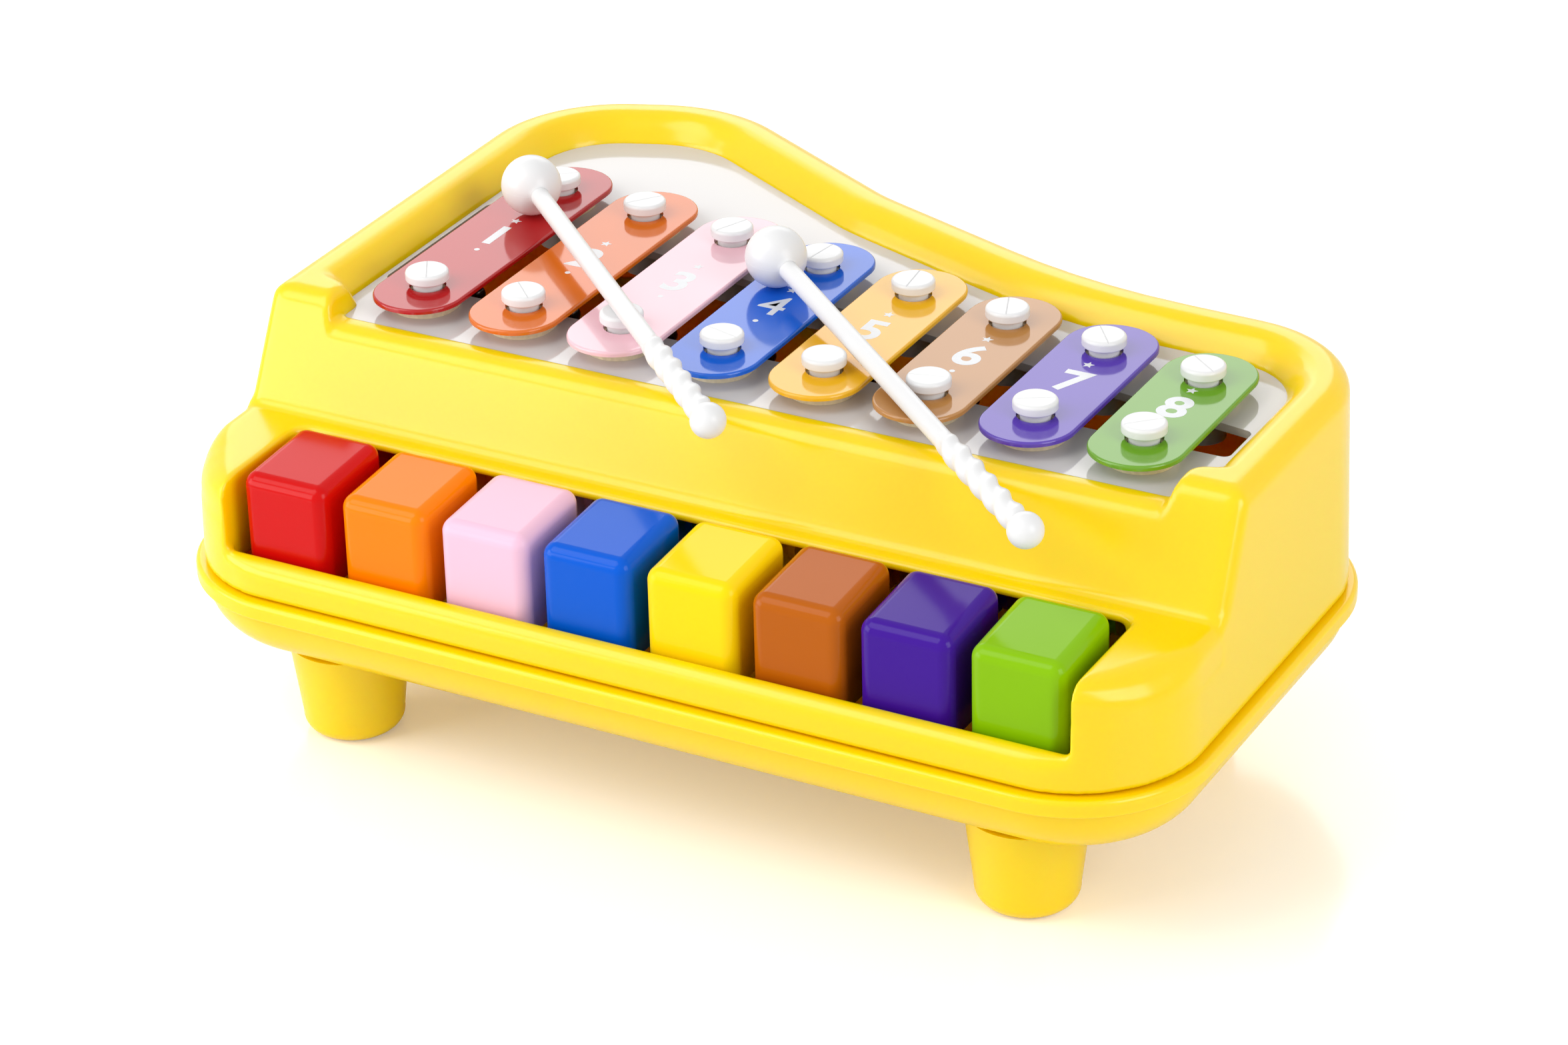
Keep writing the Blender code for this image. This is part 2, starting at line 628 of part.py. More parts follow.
def upper_housing():
    """One-piece moulded body: stepped shell, key well, panel, ledge, rim and seat for the bed."""
    edge_steps = 4
    rings = [outline_at(0.0, SEAM_Z), outline_at(0.0, CHEEK_Z)]
    for step in range(edge_steps + 1):
        angle = math.pi / 2 * step / edge_steps
        z = RIM_Z - RIM_EDGE * (1.0 - math.sin(angle))
        rings.append(outline_at(RIM_EDGE * (1.0 - math.cos(angle)), z))
    housing = piece("upper_housing", loft(rings), yellow)

    cut(housing, lower_hollow_tool())
    inside = WALL + CLEARANCE
    cut(housing, loft([behind_panel(inside, SEAM_Z + OVERRUN), behind_panel(inside, SEAT_Z - WALL)]))
    cut(housing, rim_channel())

    join(housing, rounds(screw_places(), COLUMN_RADIUS, COLUMN_JOINT_Z + CLEARANCE, SEAT_Z - WALL / 2, 12))

    cut(housing, notch_tool())
    fade = CHEEK_FADE_END_Y - CHEEK_FADE_START_Y

    def cheek_radius(x, y):
        share = min(max((CHEEK_FADE_END_Y - y) / fade, 0.0), 1.0)
        return CHEEK_ROUNDING_END + (CHEEK_ROUNDING - CHEEK_ROUNDING_END) * share

    cut(housing, edge_rounding_tool(
        CHEEK_Z, cheek_radius,
        (-HALF_WIDTH - OVERRUN, FRONT_Y - OVERRUN, CHEEK_Z - CHEEK_ROUNDING - OVERRUN),
        (HALF_WIDTH + OVERRUN, CHEEK_FADE_END_Y, CHEEK_Z + OVERRUN)))

    def sill_radius(x, y):
        return min(max((SILL_REAR_Y - y) * SILL_ROUNDING_SHARE, SILL_THINNEST), SILL_ROUNDING)

    cut(housing, edge_rounding_tool(
        SILL_Z, sill_radius,
        (-WELL_HALF, FRONT_Y - OVERRUN, SILL_Z - SILL_ROUNDING - OVERRUN),
        (WELL_HALF, SILL_REAR_Y + OVERRUN, CHEEK_Z + OVERRUN)))
    well = [(-WELL_HALF, SILL_REAR_Y, 0.0), (WELL_HALF, SILL_REAR_Y, 0.0),
            (WELL_HALF, WELL_REAR_Y, WELL_RADIUS), (-WELL_HALF, WELL_REAR_Y, WELL_RADIUS)]
    cut(housing, prism(rounded(well, 3), SEAM_Z + OVERRUN, CHEEK_Z + OVERRUN))

    front_y = PANEL_FOOT_Y - OVERRUN
    rim_drop = RIM_Z - LEDGE_Z
    crest = RIM_WIDTH - RIM_EDGE - RIM_CREST
    rings = []
    for spread_share, drop_share in RIM_SLOPE_SHARES:
        corners = recess_corners(crest * spread_share, front_y)
        rings.append(level(rounded(corners, 4), LEDGE_Z + rim_drop * drop_share))
    cut(housing, loft(rings))
    cut(housing, ledge_tool())
    cut(housing, prism(rounded(recess_corners(0.0, BED_FRONT_Y), 4), SEAT_Z, LEDGE_Z + OVERRUN))
    window = inset_corners([(-HALF_WIDTH, BED_FRONT_Y - RIM_WIDTH, LEFT_REAR_RADIUS),
                            (HALF_WIDTH, BED_FRONT_Y - RIM_WIDTH, LEFT_REAR_RADIUS)] + REAR_CORNERS,
                           RIM_WIDTH + BED_FLANGE)
    cut(housing, prism(rounded(window), SEAT_Z - WALL - OVERRUN, SEAT_Z + OVERRUN))
    pilot_top = PAN_FLOOR_Z + SCREW_RECESS + SCREW_LENGTH + OVERRUN
    cut(housing, rounds(screw_places(), SCREW_RADIUS + CLEARANCE, COLUMN_JOINT_Z - OVERRUN, pilot_top, 10))


def base_pan():
    """Lower shell: curved tray with the lip, a locating tongue, and what carries the keys and screws."""
    lip_top = SEAM_Z - CLEARANCE
    lip_bottom = lip_top - LIP_HEIGHT
    bend_steps = 4
    rings = []
    for step in range(bend_steps + 1):
        angle = math.pi / 2 * step / bend_steps
        inset = PAN_BEND_RADIUS * (1.0 - math.sin(angle))
        rings.append(pan_ring(inset, PAN_FLOOR_Z + PAN_BEND_RADIUS * (1.0 - math.cos(angle))))
    rings.append(pan_ring(-LIP_REACH, lip_bottom))
    rings.append(pan_ring(-LIP_REACH, lip_top - LIP_ROUNDING))
    rings.append(pan_ring(LIP_ROUNDING / 3 - LIP_REACH, lip_top - LIP_ROUNDING / 3))
    rings.append(pan_ring(LIP_ROUNDING - LIP_REACH, lip_top))
    tongue = WALL + CLEARANCE
    rings.append(pan_ring(tongue, lip_top))
    rings.append(pan_ring(tongue, lip_top + TONGUE_HEIGHT))
    rings.append(pan_ring(tongue + TONGUE_THICKNESS, lip_top + TONGUE_HEIGHT))
    rings.append(pan_ring(tongue + TONGUE_THICKNESS, PAN_FLOOR_Z + PAN_BEND_RADIUS))
    inner_bend = PAN_BEND_RADIUS - tongue - TONGUE_THICKNESS
    inner_steps = 2
    for step in range(1, inner_steps + 1):
        angle = math.pi / 2 * step / inner_steps
        inset = PAN_BEND_RADIUS - inner_bend * math.cos(angle)
        rings.append(pan_ring(inset, PAN_FLOOR_Z + WALL + (PAN_BEND_RADIUS - WALL) * (1.0 - math.sin(angle))))
    pan = piece("base_pan", loft(rings), yellow)

    root_z = PAN_FLOOR_Z + WALL / 2
    bracket_top = AXLE_Z + BRACKET_CROWN
    low_y = AXLE_Y - BRACKET_DEPTH / 2
    brackets = [block((x - BRACKET_THICKNESS / 2, low_y, root_z),
                      (x + BRACKET_THICKNESS / 2, low_y + BRACKET_DEPTH, bracket_top))
                for x in bracket_places()]
    ribs = [block((-FELT_HALF_LENGTH, y - RIB_THICKNESS / 2, root_z),
                  (FELT_HALF_LENGTH, y + RIB_THICKNESS / 2, top - FELT_THICKNESS - CLEARANCE))
            for y, top in ((STOP_Y, STOP_FELT_Z), (REST_RIB_Y, REST_FELT_Z))]
    join(pan, gather(brackets + ribs))
    join(pan, rounds(screw_places(), COLUMN_RADIUS, root_z, COLUMN_JOINT_Z, 12))

    bore = AXLE_RADIUS + CLEARANCE
    mouth = bore * BRACKET_MOUTH_SHARE
    mouth_angle = math.degrees(math.acos(BRACKET_MOUTH_SHARE))
    keyhole = arc(AXLE_Y, AXLE_Z, bore, mouth_angle, -180.0 - mouth_angle, 9)
    keyhole += [(AXLE_Y - mouth, bracket_top + OVERRUN), (AXLE_Y + mouth, bracket_top + OVERRUN)]
    cut(pan, extruded_in_x(keyhole, -AXLE_HALF_LENGTH, AXLE_HALF_LENGTH))
    recess_top = PAN_FLOOR_Z + SCREW_RECESS
    head_bore = SCREW_HEAD_RADIUS + CLEARANCE
    thread_bore = SCREW_RADIUS + CLEARANCE
    bores = [turned([(head_bore, PAN_FLOOR_Z - OVERRUN), (head_bore, recess_top),
                     (thread_bore, recess_top), (thread_bore, COLUMN_JOINT_Z + OVERRUN)], 10, x, y)
             for x, y in screw_places()]
    cut(pan, gather(bores))
    socket = FOOT_PLUG_RADIUS + CLEARANCE
    cut(pan, rounds(foot_places().values(), socket, PAN_FLOOR_Z - OVERRUN, PAN_FLOOR_Z + WALL + OVERRUN, 12))


def pan_ring(inset, z):
    """One ring of the pan, moved inwards from the housing's outline at the seam."""
    return level(rounded(inset_corners(OUTLINE, inset)), z)


def bracket_places():
    """Brackets stand between the levers and at both ends of the axle."""
    between = [(note_x(index) + note_x(index + 1)) / 2 for index in range(1, NOTE_COUNT - 1, 2)]
    return [-ROW_HALF] + between + [ROW_HALF]


def foot_places():
    """Middle of each foot, by its name."""
    x = HALF_WIDTH - FOOT_SIDE_INSET
    front_y = FRONT_Y + FOOT_FRONT_INSET
    return {"foot_front_left": (-x, front_y), "foot_front_right": (x, front_y),
            "foot_rear_left": (FOOT_LEFT_SIDE_INSET - HALF_WIDTH, LEFT_REAR_Y - FOOT_LEFT_REAR_INSET),
            "foot_rear_right": (x, RIGHT_REAR_Y - FOOT_RIGHT_REAR_INSET)}


def foot(name, x, y):
    """Tapered hollow foot with a rounded bottom edge and a plug that sits in the pan's floor."""
    top = PAN_FLOOR_Z - CLEARANCE
    plug_top = top + FOOT_PLUG_HEIGHT
    profile = [(0.0, 0.0)]
    profile += arc(FOOT_BOTTOM_RADIUS - FOOT_ROUNDING, FOOT_ROUNDING, FOOT_ROUNDING, -90.0, 0.0, 3)
    profile += [(FOOT_TOP_RADIUS, top), (FOOT_TOP_RADIUS - FOOT_WALL, top),
                (FOOT_BOTTOM_RADIUS - FOOT_WALL, FOOT_WALL + FOOT_ROUNDING),
                (FOOT_BOTTOM_RADIUS - 2 * FOOT_WALL, FOOT_WALL), (FOOT_PLUG_RADIUS, FOOT_WALL),
                (FOOT_PLUG_RADIUS, plug_top), (0.0, plug_top)]
    item = piece(name, turned(profile, 12), yellow)
    item.location = (x, y, 0.0)


def bar_places(index):
    """Middles of the front and the rear peg of one bar."""
    return note_x(index), PEG_FRONT_Y, PEG_REAR_FIRST_Y - PEG_REAR_STEP * index


def bar_bed():
    """Flat bed with the hammers' slot, a felt disc under each bar end and a boss for each peg."""
    corners = recess_corners(-CLEARANCE, BED_FRONT_Y + CLEARANCE)
    bed = piece("bar_bed", prism(rounded(corners, 4), BED_TOP_Z - BED_THICKNESS, BED_TOP_Z), pearl)
    slot_front_y = PEG_FRONT_Y + SLOT_FRONT_GAP
    left_rear_y = PEG_REAR_FIRST_Y + PEG_REAR_STEP / 2 - SLOT_REAR_GAP
    right_rear_y = PEG_REAR_LAST_Y - PEG_REAR_STEP / 2 - SLOT_REAR_GAP
    slot = [(-ROW_HALF, slot_front_y, SLOT_RADIUS), (ROW_HALF, slot_front_y, SLOT_RADIUS),
            (ROW_HALF, right_rear_y, SLOT_RADIUS), (-ROW_HALF, left_rear_y, SLOT_RADIUS)]
    cut(bed, prism(rounded(slot, 3), BED_TOP_Z - BED_THICKNESS - OVERRUN, BED_TOP_Z + OVERRUN))
    places = [(x, y) for x, *peg_ys in map(bar_places, range(NOTE_COUNT)) for y in peg_ys]
    bore = PEG_SHANK_RADIUS + CLEARANCE
    boss_end = BED_TOP_Z - BED_THICKNESS - BOSS_LENGTH
    inside = BED_TOP_Z - BED_THICKNESS / 2
    join(bed, rounds(places, FELT_DISC_RADIUS, inside, FELT_DISC_Z, 10))
    join(bed, rounds(places, bore + BOSS_WALL, boss_end, inside, 8))
    cut(bed, rounds(places, bore, boss_end - OVERRUN, FELT_DISC_Z + OVERRUN, 8))


def bar(index):
    """Sheet metal bar with rolled edges, round corners and a hole at each end."""
    x, front_y, rear_y = bar_places(index)
    middle_y = (front_y + rear_y) / 2
    half_length = (rear_y - front_y) / 2 + BAR_OVERHANG
    ends = [(-BAR_WIDTH / 2, -half_length), (BAR_WIDTH / 2, -half_length),
            (BAR_WIDTH / 2, half_length), (-BAR_WIDTH / 2, half_length)]
    corners = [(*end, BAR_CORNER_RADIUS) for end in ends]
    ways = [(BAR_SHEET, -BAR_SHEET), (BAR_SHEET, -BAR_EDGE_HEIGHT), (0.0, -BAR_EDGE_HEIGHT)]
    ways += [(BAR_EDGE_RADIUS + across, height - BAR_EDGE_RADIUS)
             for across, height in arc(0.0, 0.0, BAR_EDGE_RADIUS, 180.0, 90.0, 2)]
    rings = [level(rounded(inset_corners(corners, inset), 3), height) for inset, height in ways]
    colour = BAR_COLOURS[index % len(BAR_COLOURS)]
    item = piece(f"bar_{index + 1}", loft(rings), finish(f"bar_paint_{index + 1}", colour, 0.3))
    reach = (rear_y - front_y) / 2
    cut(item, rounds([(0.0, -reach), (0.0, reach)], BAR_HOLE_RADIUS, -BAR_SHEET - OVERRUN, OVERRUN, 8))
    item.location = (x, middle_y, BAR_TOP_Z)


def peg_body():
    """Push peg: rounded head, and a shank through bar, disc and bed, measured from the head's top."""
    shank_end = BED_TOP_Z - BED_THICKNESS - BOSS_LENGTH - PEG_TOP_Z
    head = PEG_HEAD_RADIUS
    return turned([(0.0, shank_end), (PEG_SHANK_RADIUS, shank_end), (PEG_SHANK_RADIUS, -PEG_HEAD_HEIGHT),
                   (head, -PEG_HEAD_HEIGHT), (head, -PEG_HEAD_ROUNDING), (head - PEG_HEAD_ROUNDING, 0.0),
                   (0.0, 0.0)], 10)


def pegs():
    """A peg for each end of each bar; they share one mesh."""
    first = piece("peg_front_1", peg_body(), finish("peg_plastic", WHITE, 0.35))
    for index in range(NOTE_COUNT):
        x, front_y, rear_y = bar_places(index)
        for end, y in (("front", front_y), ("rear", rear_y)):
            item = first
            if (index, end) != (0, "front"):
                item = bpy.data.objects.new(f"peg_{end}_{index + 1}", first.data)
                bpy.context.collection.objects.link(item)
            item.location = (x, y, PEG_TOP_Z)


def key_body():
    """Cube key and its lever in one moulding, measured from the middle of the axle under it."""
    front = KEY_FRONT_Y - AXLE_Y
    rear = front + KEY_DEPTH
    top = KEY_TOP_Z - AXLE_Z
    bottom = KEY_BOTTOM_Z - AXLE_Z
    corners = [(-KEY_WIDTH / 2, front, KEY_ROUNDING), (KEY_WIDTH / 2, front, KEY_ROUNDING),
               (KEY_WIDTH / 2, rear, KEY_ROUNDING), (-KEY_WIDTH / 2, rear, KEY_ROUNDING)]
    ways = [(KEY_WALL, top - KEY_WALL), (KEY_WALL, bottom), (0.0, bottom)]
    ways += [(KEY_ROUNDING + across, top - KEY_ROUNDING + height)
             for across, height in arc(0.0, 0.0, KEY_ROUNDING, 180.0, 90.0, 2)]
    cube = loft([level(rounded(inset_corners(corners, inset), 2), height) for inset, height in ways])
    item = piece("key_1", cube, yellow)
    half_lever = LEVER_WIDTH / 2
    riser_front = TIP_Y - AXLE_Y - RISER_DEPTH / 2
    riser_rear = riser_front + RISER_DEPTH
    lever = [(rear - KEY_WALL / 2, -LEVER_HEIGHT / 2, 0.0),
             (riser_rear, -LEVER_HEIGHT / 2, RISER_BEND_RADIUS),
             (riser_rear, RISER_TOP_Z - AXLE_Z, 0.0), (riser_front, RISER_TOP_Z - AXLE_Z, 0.0),
             (riser_front, LEVER_HEIGHT / 2, RISER_BEND_RADIUS), (rear - KEY_WALL / 2, LEVER_HEIGHT / 2, 0.0)]
    join(item, extruded_in_x(rounded(lever, 2), -half_lever, half_lever))
    join(item, extruded_in_x(circle(HUB_RADIUS, 12), -HUB_WIDTH / 2, HUB_WIDTH / 2))
    cut(item, extruded_in_x(circle(AXLE_RADIUS + CLEARANCE, 10), -HUB_WIDTH, HUB_WIDTH))
    socket = TIP_STUD_RADIUS + CLEARANCE
    cut(item, turned([(socket, RISER_TOP_Z - AXLE_Z - TIP_STUD_LENGTH - CLEARANCE),
                      (socket, RISER_TOP_Z - AXLE_Z + OVERRUN)], 8, 0.0, TIP_Y - AXLE_Y))
    return item


def keys():
    """Eight keys, alike but for their colour."""
    first = key_body()
    for index in range(NOTE_COUNT):
        item = first
        if index:
            item = bpy.data.objects.new(f"key_{index + 1}", first.data.copy())
            bpy.context.collection.objects.link(item)
        item.data.materials.clear()
        colour = KEY_COLOURS[index % len(KEY_COLOURS)]
        item.data.materials.append(finish(f"key_plastic_{index + 1}", colour, 0.22))
        item.location = (note_x(index), AXLE_Y, AXLE_Z)


def hammer_tips():
    """Steel ball on a collar; its stud is pressed into the top of the lever's riser."""
    collar_low = RISER_TOP_Z + CLEARANCE - AXLE_Z
    collar_high = collar_low + TIP_COLLAR_HEIGHT
    ball_z = TIP_BALL_Z - AXLE_Z
    neck_angle = math.degrees(math.acos(TIP_NECK_RADIUS / TIP_BALL_RADIUS))
    profile = [(0.0, collar_low - TIP_STUD_LENGTH), (TIP_STUD_RADIUS, collar_low - TIP_STUD_LENGTH),
               (TIP_STUD_RADIUS, collar_low), (TIP_COLLAR_RADIUS, collar_low),
               (TIP_COLLAR_RADIUS, collar_high), (TIP_NECK_RADIUS, collar_high)]
    profile += arc(0.0, ball_z, TIP_BALL_RADIUS, -neck_angle, 50.0, 3) + [(0.0, ball_z + TIP_BALL_RADIUS)]
    steel = finish("tip_steel", DARK_STEEL, 0.3, 1.0)
    first = piece("hammer_tip_1", turned(profile, 8, 0.0, TIP_Y - AXLE_Y), steel)
    for index in range(NOTE_COUNT):
        item = first
        if index:
            item = bpy.data.objects.new(f"hammer_tip_{index + 1}", first.data)
            bpy.context.collection.objects.link(item)
        item.location = (note_x(index), AXLE_Y, AXLE_Z)


def key_axle():
    """Steel rod that all levers turn on."""
    rod = extruded_in_x(circle(AXLE_RADIUS, 12), -AXLE_HALF_LENGTH, AXLE_HALF_LENGTH)
    item = piece("key_axle", rod, finish("axle_steel", STEEL, 0.25, 1.0))
    item.location = (0.0, AXLE_Y, AXLE_Z)


def felt_strip(name, y, top_z, material):
    """Long strip of felt on top of a rib, under all keys or levers."""
    strip = block((-FELT_HALF_LENGTH, -FELT_WIDTH / 2, -FELT_THICKNESS),
                  (FELT_HALF_LENGTH, FELT_WIDTH / 2, 0.0))
    item = piece(name, strip, material)
    item.location = (0.0, y, top_z)


def case_screws():
    """Pan-head screws from below, measured from the underside of the head's seat."""
    seat = PAN_FLOOR_Z + SCREW_RECESS - CLEARANCE
    body = turned([(0.0, -SCREW_HEAD_HEIGHT), (SCREW_HEAD_RADIUS * SCREW_CROWN_SHARE, -SCREW_HEAD_HEIGHT),
                   (SCREW_HEAD_RADIUS, -SCREW_HEAD_HEIGHT / 2), (SCREW_HEAD_RADIUS, 0.0), (SCREW_RADIUS, 0.0),
                   (SCREW_RADIUS, SCREW_LENGTH - SCREW_RADIUS), (0.0, SCREW_LENGTH)], 8)
    first = piece("case_screw_1", body, finish("screw_steel", STEEL, 0.35, 1.0))
    for index, (x, y) in enumerate(screw_places()):
        item = first
        if index:
            item = bpy.data.objects.new(f"case_screw_{index + 1}", first.data)
            bpy.context.collection.objects.link(item)
        item.location = (x, y, seat)


def stick_section(radius, lobe_depth, twist, along):
    """Ring round the stick's own axis; lobes that turn along it make the twisted grip."""
    sides = 10
    ring = []
    for index in range(sides):
        angle = math.tau * index / sides
        reach = radius - lobe_depth * (0.5 - 0.5 * math.cos(2 * (angle - twist)))
        ring.append((reach * math.cos(angle), reach * math.sin(angle), along))
    return ring


def mallet(number, head, along):
    """Ball head, and a stick that leaves it in one direction: its twisted grip ends in a bulb."""
    white = finish(f"mallet_plastic_{number}", WHITE, 0.3)
    ball = [(0.0, -MALLET_HEAD_RADIUS)]
    ball += arc(0.0, 0.0, MALLET_HEAD_RADIUS, -64.0, 64.0, 5)
    ball += [(0.0, MALLET_HEAD_RADIUS)]
    head_piece = piece(f"mallet_head_{number}", turned(ball, 14), white)
    socket_floor = MALLET_HEAD_RADIUS - MALLET_SOCKET_DEPTH
    socket = MALLET_STICK_RADIUS + CLEARANCE
    cut(head_piece, turned([(socket, socket_floor), (socket, MALLET_HEAD_RADIUS + OVERRUN)], 12))

    grip_start = MALLET_LENGTH * MALLET_GRIP_SHARE
    grip_length = MALLET_LENGTH - MALLET_BULB_RADIUS - grip_start
    swell = MALLET_GRIP_RADIUS - MALLET_STICK_RADIUS
    rings = [stick_section(MALLET_STICK_RADIUS, 0.0, 0.0, socket_floor + CLEARANCE),
             stick_section(MALLET_STICK_RADIUS, 0.0, 0.0, grip_start)]
    sections = 11
    for index in range(1, sections):
        share = index / sections
        radius = MALLET_STICK_RADIUS + swell * min(1.0, share / GRIP_SWELL_SHARE)
        rings.append(stick_section(radius, radius * GRIP_LOBE_SHARE, math.tau * share * GRIP_TURNS,
                                   grip_start + grip_length * share))
    for radius, place in arc(0.0, MALLET_LENGTH, MALLET_BULB_RADIUS, -60.0, 60.0, 4):
        rings.append(stick_section(radius, 0.0, 0.0, place))
    rings.append([(0.0, 0.0, MALLET_LENGTH + MALLET_BULB_RADIUS)])
    stick_piece = piece(f"mallet_stick_{number}", loft(rings), white)
    for item in (head_piece, stick_piece):
        item.location = head
        item.rotation_mode = "QUATERNION"
        item.rotation_quaternion = along.to_track_quat("Z", "Y")


def mallet_head_place(shares):
    """Middle of a head that lies on the bars."""
    return (ROW_HALF * shares[0], PEG_FRONT_Y + (PEG_REAR_FIRST_Y - PEG_FRONT_Y) * shares[1],
            BAR_TOP_Z + CLEARANCE + MALLET_HEAD_RADIUS)


def leaning(head, aim, rest, rest_z):
    """Direction from a head over a place in plan, sloped to pass rest_z where it is nearest to its rest."""
    along = Vector((aim[0] - head[0], aim[1] - head[1])).normalized()
    reach = Vector((rest[0] - head[0], rest[1] - head[1])).dot(along)
    return Vector((along.x, along.y, (rest_z - head[2]) / reach))


def mallets():
    """One mallet rests on a front peg a little aside of its middle, the other on a bar's front end."""
    stick_rest = MALLET_STICK_RADIUS + CLEARANCE
    head = mallet_head_place(MALLET_1_HEAD_SHARES)
    peg_under = (note_x(2), PEG_FRONT_Y)
    aside = (note_x(2) - MALLET_1_ASIDE, PEG_FRONT_Y)
    mallet(1, head, leaning(head, aside, peg_under, PEG_TOP_Z + stick_rest))
    head = mallet_head_place(MALLET_2_HEAD_SHARES)
    bar_end_y = PEG_FRONT_Y - BAR_OVERHANG
    inset = (note_x(5), bar_end_y + MALLET_2_INSET)
    mallet(2, head, leaning(head, inset, (note_x(5), bar_end_y), BAR_TOP_Z + stick_rest))


yellow = finish("housing_plastic", YELLOW, 0.2)
pearl = finish("bed_plastic", PEARL, 0.4)
felt = finish("felt", FELT_GREY, 0.95)

upper_housing()
base_pan()
for foot_name, (foot_x, foot_y) in foot_places().items():
    foot(foot_name, foot_x, foot_y)
bar_bed()
for note in range(NOTE_COUNT):
    bar(note)
pegs()
keys()
hammer_tips()
key_axle()
felt_strip("key_stop_felt", STOP_Y, STOP_FELT_Z, felt)
felt_strip("hammer_rest_felt", REST_RIB_Y, REST_FELT_Z, felt)
case_screws()
mallets()

plan = rounded(inset_corners(OUTLINE, -LIP_REACH))
middle_y = (min(y for x, y in plan) + max(y for x, y in plan)) / 2
origin = bpy.data.objects.new("toy_origin", None)
bpy.context.collection.objects.link(origin)
origin.location = (0.0, -middle_y, 0.0)
for made in bpy.data.objects:
    if made.type == "MESH":
        made.parent = origin
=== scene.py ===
"""Looks of the toy xylophone: moulded shells, painted bars, pegs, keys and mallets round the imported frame.

Metres, +Z up. Shapes are drawn where y = 0 runs along the ledge in front of the bars, as the part
itself is drawn, and each finished mesh is then moved back by ORIGIN_Y into the frame's own place.
"""

import math

import bmesh
import bpy
from mathutils import Matrix, Vector


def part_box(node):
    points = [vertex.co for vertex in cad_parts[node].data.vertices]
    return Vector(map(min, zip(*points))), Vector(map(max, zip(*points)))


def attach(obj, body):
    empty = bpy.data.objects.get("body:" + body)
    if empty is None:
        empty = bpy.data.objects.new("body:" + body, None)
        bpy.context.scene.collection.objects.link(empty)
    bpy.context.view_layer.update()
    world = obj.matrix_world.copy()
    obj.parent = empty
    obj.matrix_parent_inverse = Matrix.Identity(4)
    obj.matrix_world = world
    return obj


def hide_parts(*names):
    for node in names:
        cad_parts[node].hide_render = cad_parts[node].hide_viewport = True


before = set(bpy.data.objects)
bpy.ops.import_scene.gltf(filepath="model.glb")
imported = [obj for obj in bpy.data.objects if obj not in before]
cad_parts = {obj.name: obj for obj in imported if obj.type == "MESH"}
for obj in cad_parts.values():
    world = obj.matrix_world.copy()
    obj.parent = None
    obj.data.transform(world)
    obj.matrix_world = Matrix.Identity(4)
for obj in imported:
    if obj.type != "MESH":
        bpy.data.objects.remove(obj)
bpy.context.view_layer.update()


def middle(node):
    """Centre of a CAD node's box."""
    low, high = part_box(node)
    return (low + high) / 2


# Driving sizes: the part's own, but for the few that the photo shows a little differently
CLEARANCE = 0.0003
OVERRUN = 0.002
SKIN = 0.00004
AXLE_Y = -0.0060
ORIGIN_Y = middle("key_axle").y - AXLE_Y
NOTES = range(1, 9)
MIDDLE_NOTE = 4.5
NOTE_PITCH = (middle("bar_8").x - middle("bar_1").x) / 7
ROW_HALF = 4 * NOTE_PITCH

HALF_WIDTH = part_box("upper_housing")[1].x
SEAM_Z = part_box("upper_housing")[0].z
RIM_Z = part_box("upper_housing")[1].z
FRONT_Y = -0.0584
FRONT_RADIUS = 0.031
RIGHT_REAR_Y = 0.0824
LEFT_REAR_Y = 0.1252
WAIST_Y = 0.0852
TAIL_Y = 0.1442
REAR_CORNERS = [(HALF_WIDTH, RIGHT_REAR_Y, 0.034), (HALF_WIDTH * 0.389, WAIST_Y, 0.160),
                (HALF_WIDTH * -0.128, WAIST_Y + (TAIL_Y - WAIST_Y) * 0.412, 0.050),
                (HALF_WIDTH * -0.618, TAIL_Y, 0.042), (-HALF_WIDTH, LEFT_REAR_Y, 0.037)]
FRONT_CORNERS = [(-HALF_WIDTH, FRONT_Y, FRONT_RADIUS), (HALF_WIDTH, FRONT_Y, FRONT_RADIUS)]
OUTLINE = FRONT_CORNERS + REAR_CORNERS
WALL = 0.0024
DRAFT = 0.0013
FINE_ARC = math.radians(4.0)
BORE_SIDES = 32
FLAT_FACE_WEIGHT = 80

SILL_Z = 0.0517
CHEEK_Z = 0.0695
LEDGE_Z = 0.0896
WELL_HALF = 0.1092
WELL_REAR_Y = -0.0215
WELL_RADIUS = 0.003
SILL_REAR_Y = -0.0533
SILL_ROUNDING = 0.005
SILL_LEAST_ROUNDING = 0.0005
SILL_FADE = 0.85
CHEEK_ROUNDING = 0.008
CHEEK_INNER_SHARE = 0.5
CHEEK_OUTER_GAIN = 1.6
CHEEK_FADE_START_Y = -0.040
CHEEK_FADE_END_Y = -0.0163

PANEL_FOOT_Y = -0.0163
PANEL_TOP_Y = -0.0067
PANEL_FOOT_FILLET = 0.0020
PANEL_SIDE_RADIUS = 0.004
POST_TOP_ROUNDING = 0.0035
LEDGE_ROUNDING = 0.006
RIM_WIDTH = 0.0156
RIM_EDGE = 0.0046
RIM_CREST = 0.0040
POST_HALF_GAP = 0.1090
POST_REAR_Y = 0.0065
POST_JOG = 0.0025
POST_RADIUS = 0.004
POST_FOOT_RADIUS = 0.003
POST_LEAN_SHARE = 0.4
POST_SHARE = 0.7
POST_FOOT_SHARE = 0.51
RIM_SLOPE_SHARES = [(0.0, 0.0), (0.1, 0.14), (0.2, 0.3), (0.35, 0.54), (0.5, 0.72), (0.66, 0.87),
                    (0.82, 0.96), (1.0, 1.01), (1.02, 1.4)]
SHELL_VOXEL = 0.0008
SHELL_SMOOTHING = 5
SHELL_SMOOTHING_SHARE = 0.5

